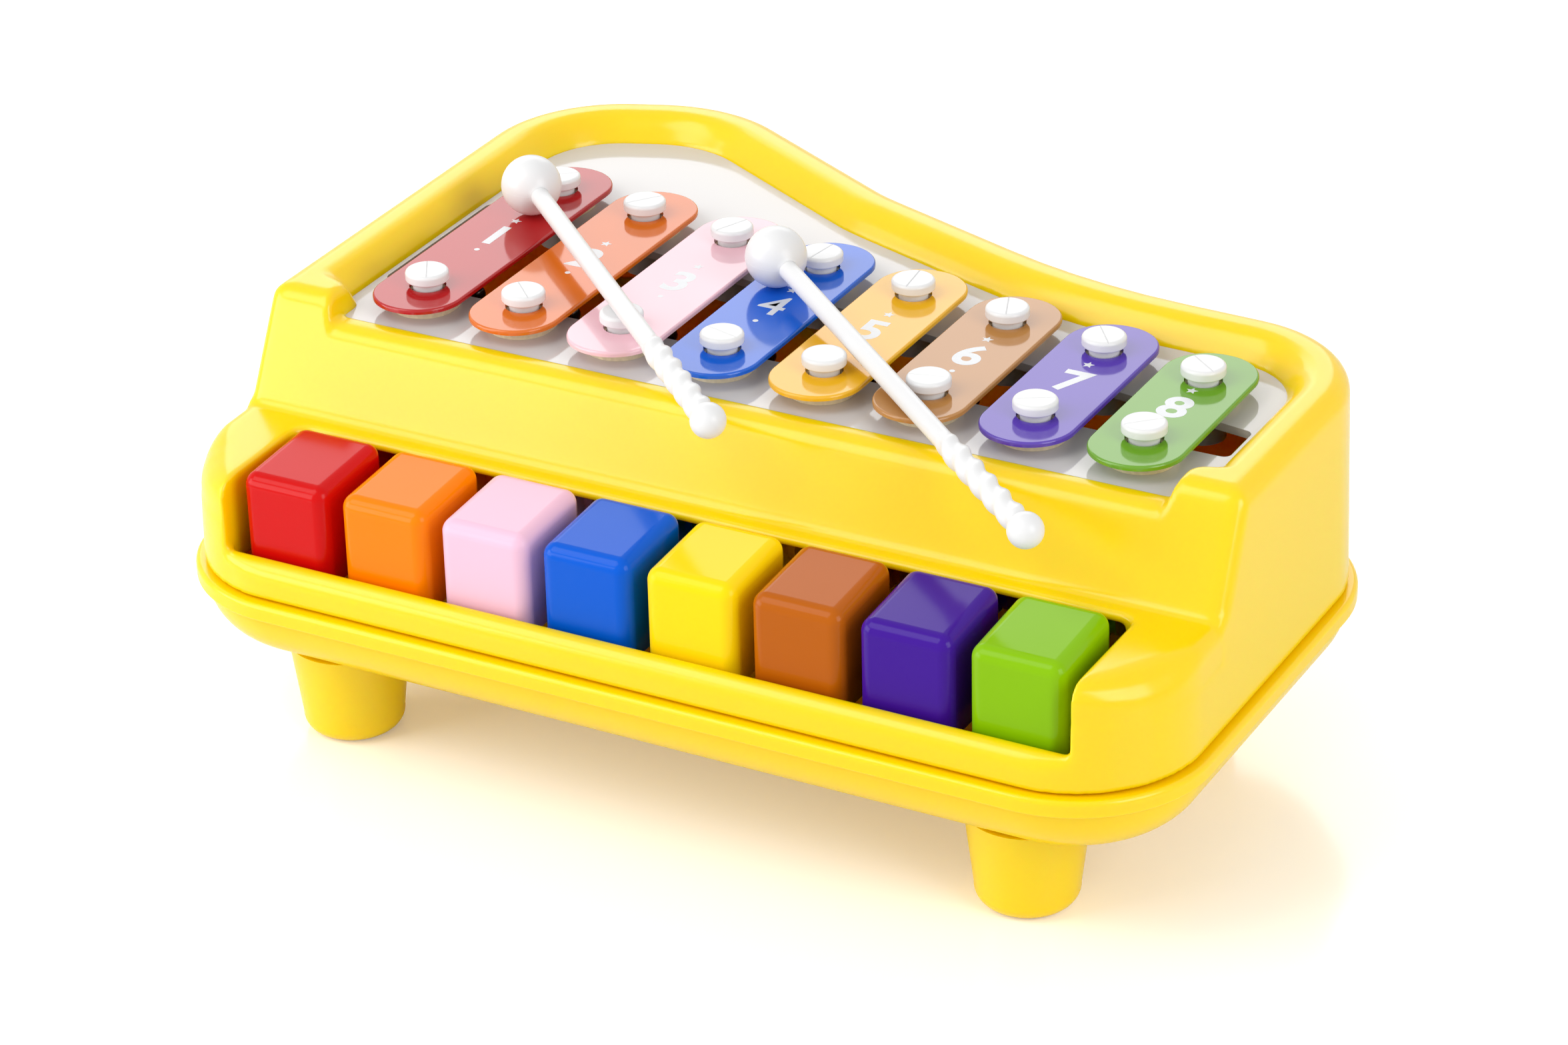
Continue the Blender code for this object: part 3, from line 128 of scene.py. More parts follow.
BED_THICKNESS = 0.0020
BED_TOP_Z = 0.0893
BED_FRONT_Y = -0.0006
BED_OVERLAP = 0.0004
BED_FLANGE = 0.0036
WINDOW_RADIUS = 0.037
SEAT_Z = BED_TOP_Z - BED_THICKNESS - CLEARANCE
SLOT_HALF = 0.1119
SLOT_FRONT_Y = 0.0224
SLOT_RIGHT_Y = 0.03653
SLOT_LEFT_Y = 0.07217
SLOT_RADIUS = 0.002
SLOT_CORNERS = [(-SLOT_HALF, SLOT_FRONT_Y, SLOT_RADIUS), (SLOT_HALF, SLOT_FRONT_Y, SLOT_RADIUS),
                (SLOT_HALF, SLOT_RIGHT_Y, SLOT_RADIUS), (-SLOT_HALF, SLOT_LEFT_Y, SLOT_RADIUS)]
FELT_DISC_RADIUS = 0.008
FELT_DISC_REACH = 0.0016
FELT_DISC_CHAMFER = 0.0003
BOSS_WALL = 0.0017
BOSS_LENGTH = 0.0075

BAR_WIDTH = 0.0228
BAR_TOP_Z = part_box("bar_1")[1].z
BAR_SHEET = 0.0010
BAR_EDGE_HEIGHT = 0.0012
BAR_EDGE_RADIUS = 0.0006
BAR_CORNER_RADIUS = 0.0111
BAR_HOLE_RADIUS = 0.0045
MARK_SIZE = 0.0145
MARK_RISE = 0.00003
# How much bolder than the plain font each number is: the 4 closes its hole beyond this, and the 6 breaks up
MARK_SWELL = [0.0004, 0.0004, 0.0004, 0.0001, 0.0004, 0.0004, 0.0004, 0.0004]
STAR_POINT_RADIUS = 0.0015
STAR_NOTCH_RADIUS = 0.0007
STAR_POINTS = 5
STAR_OFFSET = MARK_SIZE * 0.68
DOT_RADIUS = 0.0007
DOT_OFFSET = MARK_SIZE * 0.6

PEG_TOP_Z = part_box("peg_front_1")[1].z
PEG_HEAD_RADIUS = 0.0053
PEG_HEAD_HEIGHT = 0.0026
PEG_HEAD_ROUNDING = 0.0009
PEG_SHANK_RADIUS = 0.0036
PEG_TAIL_RADIUS = 0.0022
PEG_TAIL_LENGTH = 0.0095
PEG_UNDER_ROUNDING = 0.0004
PEG_GROOVE_HALF = 0.0004
PEG_GROOVE_RISE = 0.0002
PEG_GROOVE_DEPTH = 0.00022
PEG_TURN_START = 0.4
PEG_TURN_STEP = 1.7

KEY_WIDTH = 0.02295
KEY_DEPTH = 0.0266
KEY_FRONT_Y = -0.0520
KEY_TOP_Z = 0.07235
KEY_TOP_FALL = 0.0012
KEY_TOP_RISE = 0.0003
KEY_BOTTOM_Z = 0.0460
KEY_ROUNDING = 0.0033
KEY_WALL = 0.0018
AXLE_Z = middle("key_axle").z
AXLE_RADIUS = 0.0015
LEVER_WIDTH = 0.0060
LEVER_HEIGHT = 0.0080
HUB_RADIUS = 0.0046
HUB_WIDTH = 0.0100
RISER_DEPTH = 0.0052
RISER_BEND_RADIUS = 0.003
RISER_TOP_Z = 0.0787

TIP_Y = 0.0365
TIP_BALL_Z = 0.0825
TIP_BALL_RADIUS = 0.0023
TIP_NECK_RADIUS = 0.0012
TIP_COLLAR_RADIUS = 0.0026
TIP_COLLAR_HEIGHT = 0.0012
TIP_STUD_RADIUS = 0.0011
TIP_STUD_LENGTH = 0.0060
TIP_LOW_CHAMFER = 0.0002
TIP_HIGH_CHAMFER = 0.0003

PAN_FLOOR_Z = 0.0240
LIP_HEIGHT = 0.0042
LIP_REACH = 0.0022
LIP_ROUNDING = 0.0012
LIP_GROOVE = 0.0005
LIP_GROOVE_SHARE = 0.6
PAN_BEND_RADIUS = SEAM_Z - PAN_FLOOR_Z - CLEARANCE - LIP_HEIGHT
TONGUE_HEIGHT = 0.0030
TONGUE_THICKNESS = 0.0016
BRACKET_THICKNESS = 0.0040
BRACKET_DEPTH = 0.0110
BRACKET_CROWN = 0.0038
BRACKET_MOUTH_SHARE = 0.8
RIB_THICKNESS = 0.0022
REST_RIB_Y = 0.0220
STOP_RIB_Y = middle("key_stop_felt").y - ORIGIN_Y

SCREW_RADIUS = 0.0015
SCREW_HEAD_RADIUS = 0.0031
SCREW_HEAD_HEIGHT = 0.0022
SCREW_RECESS = 0.0060
SCREW_LENGTH = 0.0280
SCREW_TURN = 0.6
SCREW_CROWN = [(0.0, 1.0), (0.55, 1.0), (0.85, 0.85), (0.97, 0.6), (1.0, 0.3)]
CROSS_REACH_SHARE = 0.55
CROSS_HALF_SHARE = 0.13
CROSS_FLOOR_SHARE = 0.35
COLUMN_RADIUS = 0.0050
COLUMN_JOINT_Z = SEAM_Z + 0.0024

FOOT_TOP_RADIUS = 0.0145
FOOT_BOTTOM_RADIUS = 0.0122
FOOT_ROUNDING = 0.0042
FOOT_PLUG_RADIUS = 0.0050
FOOT_PLUG_HEIGHT = 0.0045
FOOT_WALL = 0.0024
SCREWS = (1, 2, 3, 4)
FEET = ["foot_front_left", "foot_front_right", "foot_rear_left", "foot_rear_right"]

MALLET_HEAD_RADIUS = 0.0075
MALLET_STICK_RADIUS = 0.00235
MALLET_GRIP_RADIUS = 0.0032
MALLET_BULB_RADIUS = 0.0042
MALLET_SOCKET_DEPTH = 0.0060
MALLET_NECK_GAP = 0.00002
MALLET_MOUTH_CHAMFER = 0.0003
MALLET_LENGTH = 0.1366
BALL_SIDES = 64
STICK_SIDES = 28
SEAM_PROUD = 0.00002
SEAM_ROOT = 0.0002
SEAM_HALF_CREST = 0.00003
SEAM_HALF_FOOT = 0.00016
SEAM_STEPS = 72
MALLET_GRIP_SHARE = 0.69
GRIP_LOBE_SHARE = 0.24
GRIP_SWELL_SHARE = 0.12
GRIP_TURNS = 2.8
GRIP_SECTIONS = 110
PEG_FRONT_Y = 0.0151
PEG_REAR_FIRST_Y = 0.0779
PEG_REAR_REACH = PEG_REAR_FIRST_Y - PEG_FRONT_Y
BAR_OVERHANG = 0.0147
# In plan: where the heads lie, what the sticks point at, and the peg and the bar end that they rest on
MALLET_HEADS = [(ROW_HALF * -0.861, PEG_FRONT_Y + PEG_REAR_REACH * 0.747),
                (ROW_HALF * -0.167, PEG_FRONT_Y + PEG_REAR_REACH * 0.564)]
MALLET_AIMS = [(-1.5 * NOTE_PITCH - 0.0011, PEG_FRONT_Y),
               (1.5 * NOTE_PITCH, PEG_FRONT_Y - BAR_OVERHANG + 0.0036)]
MALLET_RESTS = [(-1.5 * NOTE_PITCH, PEG_FRONT_Y), (1.5 * NOTE_PITCH, PEG_FRONT_Y - BAR_OVERHANG)]
MALLET_REST_ZS = [PEG_TOP_Z, BAR_TOP_Z]

CAMERA_YAW = math.radians(28.85)
CAMERA_PITCH = math.radians(27.74)
CAMERA_ROLL = math.radians(-1.46)
CAMERA_LENS = 110.5
CAMERA_SENSOR = 36.0
CAMERA_TARGET = Vector((0.00458, 0.0100 + ORIGIN_Y, 0.05433))
CAMERA_DISTANCE = 1.1315

# Studio: strengths where 1 is white, and for each lamp its place, what it points at, its size and its power
WORLD_FILL = 0.56
WHITE_STRENGTH = 1.0
FLOOR_SIZE = 6.0
FLOOR_DROP = 0.0001
FLOOR_SHADE = 0.95
FLOOR_ROUGHNESS = 0.16
# Camera-only floor glow: lifts the lit floor to white; its warm tint is painted warm light in the shadow
FLOOR_PAINTED_WARM_GLOW = (1.0, 0.95, 0.86)
FLOOR_PAINTED_WARM_GLOW_STRENGTH = 0.18
LAMPS = {"key_light": ((-0.55, -0.62, 1.05), (0.0, 0.0, 0.05), (0.7, 0.7), 4.9),
         "left_light": ((-0.85, -0.72, 0.38), (0.0, 0.0, 0.07), (0.9, 0.55), 6.4),
         "rear_light": ((-0.55, 0.95, 0.62), (0.0, 0.0, 0.08), (1.0, 0.55), 3.2),
         "right_light": ((1.0, -0.35, 0.6), (0.0, 0.0, 0.05), (0.6, 0.7), 5.4)}

# Materials: span of the gloss, grain and strength of the orange peel, and how light enters the shells
GLOSSIEST = 0.85
DULLEST = 1.2
DRIFT_DETAIL = 3.0
GRAIN_SPAN = 6.0
PEEL_DETAIL = 2.0
PEEL_STRENGTH = 0.35
GLOW_REACH = (1.0, 0.45, 0.1)
GLOW_DEPTH = 0.005
BAR_GLOSS = 0.085
KEY_GLOSS = 0.12
FELT_SHEEN = 0.4

# Colours as they are seen, 0 to 255
YELLOW = (255, 211, 2)
WHITE = (229, 229, 229)
PEARL = (208, 205, 203)
CREAM = (228, 214, 180)
INK = (222, 224, 226)
# Inner felts: brown felt, darkened further as painted shade for the dim inside of the hammers' slot
FELT_BROWN_AND_SLOT_SHADE = (112, 70, 50)
STEEL = (178, 180, 184)
DARK_STEEL = (62, 54, 50)
KEY_COLOURS = [(203, 10, 8), (246, 128, 0), (238, 192, 214), (0, 88, 204),
               (250, 214, 8), (180, 92, 8), (62, 18, 144), (132, 186, 4)]
BAR_COLOURS = [(176, 18, 22), (216, 108, 24), (240, 194, 204), (4, 92, 205),
               (236, 178, 26), (184, 130, 70), (88, 60, 172), (104, 158, 34)]


def linear(colour):
    """Turn a seen colour into the linear values that a shader takes."""
    shares = [channel / 255.0 for channel in colour]
    return [share / 12.92 if share <= 0.04045 else ((share + 0.055) / 1.055) ** 2.4 for share in shares]


def inset_corners(corners, inset):
    """Move each side of a counter-clockwise outline inwards, and change its corner radii to suit."""
    moved = []
    for index, (x, y, radius) in enumerate(corners):
        here = Vector((x, y))
        along_in = (here - Vector(corners[index - 1][:2])).normalized()
        along_out = (Vector(corners[(index + 1) % len(corners)][:2]) - here).normalized()
        normal_in = Vector((-along_in.y, along_in.x))
        normal_out = Vector((-along_out.y, along_out.x))
        shift = (normal_in + normal_out) * (inset / (1.0 + normal_in.dot(normal_out)))
        side = math.copysign(1.0, along_in.cross(along_out))
        moved.append((x + shift.x, y + shift.y, max(radius - side * inset, SKIN)))
    return moved


def rounded(corners, steps=None):
    """Points along an outline whose corners are arcs; steps gives one count for every corner."""
    points = []
    for index, (x, y, radius) in enumerate(corners):
        here = Vector((x, y))
        along_in = (here - Vector(corners[index - 1][:2])).normalized()
        along_out = (Vector(corners[(index + 1) % len(corners)][:2]) - here).normalized()
        turn = math.atan2(along_in.cross(along_out), along_in.dot(along_out))
        side = math.copysign(1.0, turn)
        start = here - along_in * (radius * math.tan(abs(turn) / 2))
        centre = start + Vector((-along_in.y, along_in.x)) * (side * radius)
        count = steps or max(2, math.ceil(abs(turn) / FINE_ARC - 0.01))
        spoke = start - centre
        for step in range(count + 1):
            points.append(tuple(centre + Matrix.Rotation(turn * step / count, 2) @ spoke))
    return points


def four_corners(low_x, low_y, high_x, high_y, radius):
    """A rectangle's corners, all with one radius."""
    return [(low_x, low_y, radius), (high_x, low_y, radius),
            (high_x, high_y, radius), (low_x, high_y, radius)]


def level(points, z):
    """Lift a plan outline to one height."""
    return [(x, y, z) for x, y in points]


def loft(rings, closed=False):
    """Skin rings of points into one body; a ring of one point is a tip, other open ends are capped."""
    body = bmesh.new()
    rows = [[body.verts.new(point) for point in ring] for ring in rings]
    pairs = list(zip(rows, rows[1:]))
    if closed:
        pairs.append((rows[-1], rows[0]))
    for lower, upper in pairs:
        count = max(len(lower), len(upper))
        for index in range(count):
            following = (index + 1) % count
            corners = [lower[index % len(lower)], lower[following % len(lower)],
                       upper[following % len(upper)], upper[index % len(upper)]]
            body.faces.new(list(dict.fromkeys(corners)))
    if not closed:
        for row in (rows[0], rows[-1]):
            if len(row) > 2:
                body.faces.new(row)
    bmesh.ops.recalc_face_normals(body, faces=body.faces)
    return body


def turned(profile, sides, x=0.0, y=0.0):
    """Turn (radius, height) pairs about a vertical axis; radius zero makes a tip."""
    rings = []
    for radius, z in profile:
        if radius == 0.0:
            rings.append([(x, y, z)])
            continue
        rings.append([(x + radius * math.cos(angle), y + radius * math.sin(angle), z)
                      for angle in full_turn(sides)])
    return loft(rings)


def slab(plan, low_z, high_z):
    """Upright body with one outline from end to end."""
    return loft([level(plan, low_z), level(plan, high_z)])


def block(low, high):
    plan = [(low[0], low[1]), (high[0], low[1]), (high[0], high[1]), (low[0], high[1])]
    return slab(plan, low[2], high[2])


def extruded_in_x(profile, low_x, high_x):
    return loft([[(x, y, z) for y, z in profile] for x in (low_x, high_x)])


def arc(centre_a, centre_b, radius, start, end, steps):
    """Points of an arc from one angle to another, in degrees."""
    angles = [math.radians(start + (end - start) * step / steps) for step in range(steps + 1)]
    return [(centre_a + radius * math.cos(angle), centre_b + radius * math.sin(angle)) for angle in angles]


def full_turn(sides):
    """Angles all the way round."""
    return [math.tau * index / sides for index in range(sides)]


def quarter_turn(steps):
    """Angles from zero to a right angle."""
    return [math.pi / 2 * step / steps for step in range(steps + 1)]


def gather(bodies):
    """Put separate bodies into one mesh."""
    everything = bmesh.new()
    for body in bodies:
        copy = bpy.data.meshes.new("copy")
        body.to_mesh(copy)
        everything.from_mesh(copy)
        bpy.data.meshes.remove(copy)
        body.free()
    return everything


def linked(name, data, place=(0.0, 0.0, 0.0), turn=0.0):
    """A new object in the scene; several may share their data."""
    item = bpy.data.objects.new(name, data)
    bpy.context.collection.objects.link(item)
    item.location = place
    item.rotation_euler = (0.0, 0.0, turn)
    return item


def shape(name, body):
    """Turn a bmesh into an object in the scene."""
    mesh = bpy.data.meshes.new(name)
    body.to_mesh(mesh)
    body.free()
    return linked(name, mesh)


def evaluated_mesh(item):
    return bpy.data.meshes.new_from_object(item.evaluated_get(bpy.context.evaluated_depsgraph_get()))


def apply_modifiers(item):
    result = evaluated_mesh(item)
    item.modifiers.clear()
    item.data = result


def discard(*items):
    for item in items:
        bpy.data.objects.remove(item, do_unlink=True)


def combine(item, body, operation):
    """Join a bmesh to an object, or cut it away."""
    tool = shape("tool", body)
    step = item.modifiers.new("step", "BOOLEAN")
    step.operation = operation
    step.solver = "EXACT"
    step.object = tool
    apply_modifiers(item)
    discard(tool)


def cut(item, body):
    combine(item, body, "DIFFERENCE")


def join(item, body):
    combine(item, body, "UNION")


def as_tool(item):
    body = bmesh.new()
    body.from_mesh(item.data)
    discard(item)
    return body


def smooth(item, angle=35.0):
    """Smooth the round faces, keep the real edges sharp and the large faces flat."""
    item.data.shade_smooth()
    item.data.set_sharp_from_angle(angle=math.radians(angle))
    weights = item.modifiers.new("weights", "WEIGHTED_NORMAL")
    weights.keep_sharp = True
    weights.weight = FLAT_FACE_WEIGHT
    apply_modifiers(item)


def rounds(places, radius, low_z, high_z):
    """Upright cylinders at several places, in one mesh."""
    return gather([turned([(radius, low_z), (radius, high_z)], BORE_SIDES, x, y) for x, y in places])


def circle(radius, sides):
    return [(radius * math.cos(angle), radius * math.sin(angle)) for angle in full_turn(sides)]


def dress(item, material, body="body", nodes=(), moved=True):
    """Place a finished piece and give it its material, its body and what it replaces."""
    if moved:
        item.data.transform(Matrix.Translation((0.0, ORIGIN_Y, 0.0)))
    item.data.materials.clear()
    item.data.materials.append(material)
    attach(item, body)
    if nodes:
        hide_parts(*nodes)
    return item


def plastic(name, colour, roughness, specular=0.5, grain=0.0006, grain_height=0.000004, mottle=0.04,
            drift_scale=18.0):
    """Moulded plastic: slight colour drift, uneven gloss, and the faint orange peel of the mould."""
    material = bpy.data.materials.new(name)
    material.use_nodes = True
    nodes, links = material.node_tree.nodes, material.node_tree.links
    shader = nodes["Principled BSDF"]
    place = nodes.new("ShaderNodeTexCoord")

    drift = nodes.new("ShaderNodeTexNoise")
    drift.inputs["Scale"].default_value = drift_scale
    drift.inputs["Detail"].default_value = DRIFT_DETAIL
    links.new(place.outputs["Object"], drift.inputs["Vector"])
    tint = nodes.new("ShaderNodeMix")
    tint.data_type = "RGBA"
    base = linear(colour)
    tint.inputs["A"].default_value = (*[value * (1.0 - mottle) for value in base], 1.0)
    tint.inputs["B"].default_value = (*[min(1.0, value * (1.0 + mottle)) for value in base], 1.0)
    links.new(drift.outputs["Fac"], tint.inputs["Factor"])
    links.new(tint.outputs["Result"], shader.inputs["Base Color"])

    gloss = nodes.new("ShaderNodeMapRange")
    gloss.inputs["To Min"].default_value = roughness * GLOSSIEST
    gloss.inputs["To Max"].default_value = roughness * DULLEST
    links.new(drift.outputs["Fac"], gloss.inputs["Value"])
    links.new(gloss.outputs["Result"], shader.inputs["Roughness"])

    peel = nodes.new("ShaderNodeTexNoise")
    peel.inputs["Scale"].default_value = 1.0 / (grain * GRAIN_SPAN)
    peel.inputs["Detail"].default_value = PEEL_DETAIL
    links.new(place.outputs["Object"], peel.inputs["Vector"])
    bump = nodes.new("ShaderNodeBump")
    bump.inputs["Strength"].default_value = PEEL_STRENGTH
    bump.inputs["Distance"].default_value = grain_height
    links.new(peel.outputs["Fac"], bump.inputs["Height"])
    links.new(bump.outputs["Normal"], shader.inputs["Normal"])
    shader.inputs["Specular IOR Level"].default_value = specular
    return material


def glowing(material, weight):
    """Let some light through the moulded wall, warm as it is in yellow plastic."""
    shader = material.node_tree.nodes["Principled BSDF"]
    shader.inputs["Subsurface Weight"].default_value = weight
    shader.inputs["Subsurface Radius"].default_value = GLOW_REACH
    shader.inputs["Subsurface Scale"].default_value = GLOW_DEPTH
    return material


def metal(name, colour, roughness):
    """Bare steel, faintly cloudy."""
    material = plastic(name, colour, roughness, mottle=0.08, drift_scale=60.0)
    shader = material.node_tree.nodes["Principled BSDF"]
    shader.inputs["Metallic"].default_value = 1.0
    return material


def felt(name, colour):
    """Short pressed felt: fuzzy colour and a fibrous surface."""
    material = plastic(name, colour, roughness=0.95, grain=0.00012, grain_height=0.00012, mottle=0.25,
                       drift_scale=900.0)
    shader = material.node_tree.nodes["Principled BSDF"]
    shader.inputs["Sheen Weight"].default_value = FELT_SHEEN
    return material


def plan_place(node):
    """Middle of a CAD node in plan, in the part's own drawing."""
    place = middle(node)
    return place.x, place.y - ORIGIN_Y


def draft_at(z):
    """How far the upper walls have leaned in at a height."""
    return DRAFT * (z - SEAM_Z) / (RIM_Z - SEAM_Z)


def outline_at(inset, z):
    return level(rounded(inset_corners(OUTLINE, inset + draft_at(z))), z)


def panel_y(z):
    return PANEL_FOOT_Y + (PANEL_TOP_Y - PANEL_FOOT_Y) * (z - CHEEK_Z) / (LEDGE_Z - CHEEK_Z)


def behind_panel(inset, z):
    front = panel_y(z)
    corners = [(-HALF_WIDTH, front, PANEL_SIDE_RADIUS), (HALF_WIDTH, front, PANEL_SIDE_RADIUS)] + REAR_CORNERS
    return level(rounded(inset_corners(corners, inset + draft_at(z))), z)


def lower_hollow_tool():
    """Room under the sill and the cheeks, with walls kept beside and in front of the key well."""
    ceiling = CHEEK_Z - WALL
    hollow = shape("hollow", loft([outline_at(WALL, SEAM_Z - OVERRUN),
                                   outline_at(WALL, CHEEK_Z - CHEEK_ROUNDING - WALL / 2),
                                   outline_at(WALL + CHEEK_ROUNDING / 3, ceiling - CHEEK_ROUNDING / 4),
                                   outline_at(WALL + CHEEK_ROUNDING, ceiling)]))
    walls = [block((side * WELL_HALF - WALL, FRONT_Y, SILL_Z - 2 * WALL),
                   (side * WELL_HALF + WALL, WELL_REAR_Y + WALL, CHEEK_Z)) for side in (-1, 1)]
    cut(hollow, gather(walls))
    cut(hollow, block((-WELL_HALF - WALL / 2, FRONT_Y, SILL_Z - WALL),
                      (WELL_HALF + WALL / 2, SILL_REAR_Y + WALL, CHEEK_Z)))
    return as_tool(hollow)


def edge_rounding_tool(top_z, radius_at, low, high):
    """Waste outside a top edge that is rounded by a radius which varies along the outline."""
    wall = rounded(inset_corners(OUTLINE, draft_at(top_z) - SKIN))
    inner = rounded(inset_corners(OUTLINE, draft_at(top_z) - SKIN + WALL))
    normals = [(Vector(b) - Vector(a)).normalized() for a, b in zip(wall, inner)]
    radii = [radius_at(x, y) for x, y in wall]
    rings = [level(wall, low[2] - OVERRUN)]
    for angle in quarter_turn(10):
        ring = []
        for (x, y), normal, radius in zip(wall, normals, radii):
            shift = normal * (radius * (1.0 - math.cos(angle)))
            ring.append((x + shift.x, y + shift.y, top_z - radius * (1.0 - math.sin(angle))))
        rings.append(ring)
    waste = shape("waste", block(low, high))
    cut(waste, loft(rings))
    return as_tool(waste)


def recess_corners(spread, front_y):
    """Inside of the rim with the two posts, widened by spread from its foot."""
    rear = inset_corners(OUTLINE, RIM_WIDTH - spread)[2:]
    foot_x = HALF_WIDTH - RIM_WIDTH + spread
    post_x = POST_HALF_GAP + POST_LEAN_SHARE * spread
    post_y = POST_REAR_Y - POST_LEAN_SHARE * spread
    step = foot_x - post_x
    right = [(post_x, front_y, SKIN), (post_x, post_y, min(POST_RADIUS, step * POST_SHARE)),
             (foot_x, post_y + POST_JOG, min(POST_FOOT_RADIUS, step * POST_FOOT_SHARE))]
    left = [(-x, y, radius) for x, y, radius in reversed(right)]
    return right + rear + left


def notch_tool():
    """Waste in front of the panel: foot fillet, slanted face, rounded sides and rounded post tops."""
    faces = []
    lean = math.atan2(PANEL_TOP_Y - PANEL_FOOT_Y, LEDGE_Z - CHEEK_Z)
    for angle in quarter_turn(8):
        z = CHEEK_Z + PANEL_FOOT_FILLET * (1.0 - math.cos(angle))
        faces.append((panel_y(z) - PANEL_FOOT_FILLET * (1.0 - math.sin(angle)), z))
    top = RIM_Z - POST_TOP_ROUNDING
    for angle in quarter_turn(8):
        z = top + (POST_TOP_ROUNDING + SKIN) * math.sin(angle)
        y = panel_y(top) + POST_TOP_ROUNDING * (1.0 - math.cos(angle)) + (z - top) * math.tan(lean)
        faces.append((y, z))
    faces.append((faces[-1][0] + OVERRUN, RIM_Z + OVERRUN))
    rings = []
    far_x = HALF_WIDTH + OVERRUN
    far_y = FRONT_Y - OVERRUN
    for y, z in faces:
        side_x = HALF_WIDTH - draft_at(z) + SKIN
        right = arc(side_x - PANEL_SIDE_RADIUS, y + PANEL_SIDE_RADIUS, PANEL_SIDE_RADIUS, 0.0, -90.0, 10)
        left = [(-x, point_y) for x, point_y in reversed(right)]
        plan = [(-far_x, far_y), (far_x, far_y), (far_x, y + PANEL_SIDE_RADIUS)]
        plan += right + left + [(-far_x, y + PANEL_SIDE_RADIUS)]
        rings.append(level(plan, z))
    return loft(rings)


def ledge_tool():
    """Waste above the ledge's rounded front edge, between the posts."""
    lean = math.atan2(PANEL_TOP_Y - PANEL_FOOT_Y, LEDGE_Z - CHEEK_Z)
    touch_z = LEDGE_Z - LEDGE_ROUNDING * (1.0 - math.sin(lean))
    touch_y = panel_y(touch_z)
    edge_y = touch_y + LEDGE_ROUNDING * math.cos(lean)
    start = 180.0 - math.degrees(lean)
    profile = [(touch_y - OVERRUN, touch_z)]
    profile += arc(edge_y, LEDGE_Z - LEDGE_ROUNDING, LEDGE_ROUNDING + SKIN, start, 90.0, 12)
    profile += [(edge_y, RIM_Z), (touch_y - OVERRUN, RIM_Z)]
    return extruded_in_x(profile, -POST_HALF_GAP, POST_HALF_GAP)


def cheek_radius(x, y):
    """Full rounding at the outer front corners, less beside the well, and none where the panel begins."""
    share = min(max((CHEEK_FADE_END_Y - y) / (CHEEK_FADE_END_Y - CHEEK_FADE_START_Y), 0.0), 1.0)
    outward = min(max((abs(x) - WELL_HALF) / (HALF_WIDTH - WELL_HALF) * CHEEK_OUTER_GAIN, 0.0), 1.0)
    share *= CHEEK_INNER_SHARE + (1.0 - CHEEK_INNER_SHARE) * outward
    return CLEARANCE + (CHEEK_ROUNDING - CLEARANCE) * share


def sill_radius(x, y):
    """The sill's front edge: full rounding in front, running out at the key well."""
    return min(max((SILL_REAR_Y - y) * SILL_FADE, SILL_LEAST_ROUNDING), SILL_ROUNDING)


def housing_shell():
    """The whole upper moulding, cut like the part and then softened, as its moulded edges are."""
    rings = [outline_at(0.0, SEAM_Z), outline_at(0.0, CHEEK_Z)]
    for angle in quarter_turn(12):
        inset = RIM_EDGE * (1.0 - math.cos(angle))
        rings.append(outline_at(inset, RIM_Z - RIM_EDGE * (1.0 - math.sin(angle))))
    housing = shape("housing_shell", loft(rings))
    cut(housing, lower_hollow_tool())
    inside = WALL + CLEARANCE
    cut(housing, loft([behind_panel(inside, SEAM_Z + OVERRUN), behind_panel(inside, SEAT_Z - WALL)]))
    cut(housing, notch_tool())
    cut(housing, edge_rounding_tool(
        CHEEK_Z, cheek_radius,
        (-HALF_WIDTH - OVERRUN, FRONT_Y - OVERRUN, CHEEK_Z - CHEEK_ROUNDING - OVERRUN),
        (HALF_WIDTH + OVERRUN, CHEEK_FADE_END_Y, CHEEK_Z + OVERRUN)))
    cut(housing, edge_rounding_tool(
        SILL_Z, sill_radius,
        (-WELL_HALF, FRONT_Y - OVERRUN, SILL_Z - SILL_ROUNDING - OVERRUN),
        (WELL_HALF, SILL_REAR_Y + OVERRUN, CHEEK_Z + OVERRUN)))
    well = [(-WELL_HALF, SILL_REAR_Y, SKIN), (WELL_HALF, SILL_REAR_Y, SKIN),
            (WELL_HALF, WELL_REAR_Y, WELL_RADIUS), (-WELL_HALF, WELL_REAR_Y, WELL_RADIUS)]
    cut(housing, slab(rounded(well, 6), SEAM_Z + OVERRUN, CHEEK_Z + OVERRUN))
    rim_drop = RIM_Z - LEDGE_Z
    crest = RIM_WIDTH - RIM_EDGE - RIM_CREST
    rings = []
    for spread_share, drop_share in RIM_SLOPE_SHARES:
        corners = recess_corners(crest * spread_share, PANEL_FOOT_Y - OVERRUN)
        rings.append(level(rounded(corners, 12), LEDGE_Z + rim_drop * drop_share))
    cut(housing, loft(rings))
    cut(housing, ledge_tool())
    seat = rounded(recess_corners(0.0, BED_FRONT_Y), 8)
    cut(housing, slab(seat, SEAT_Z, LEDGE_Z + OVERRUN))
    window_front = [(side * HALF_WIDTH, BED_FRONT_Y - RIM_WIDTH, WINDOW_RADIUS) for side in (-1, 1)]
    window = rounded(inset_corners(window_front + REAR_CORNERS, RIM_WIDTH + BED_FLANGE))
    cut(housing, slab(window, SEAT_Z - WALL - OVERRUN, SEAT_Z + OVERRUN))

    remesh = housing.modifiers.new("remesh", "REMESH")
    remesh.mode = "VOXEL"
    remesh.voxel_size = SHELL_VOXEL
    relax = housing.modifiers.new("relax", "SMOOTH")
    relax.factor = SHELL_SMOOTHING_SHARE
    relax.iterations = SHELL_SMOOTHING
    apply_modifiers(housing)
    housing.data.shade_smooth()
    return dress(housing, yellow_plastic, nodes=["upper_housing"])


def pan_ring(inset, z):
    return level(rounded(inset_corners(OUTLINE, inset)), z)


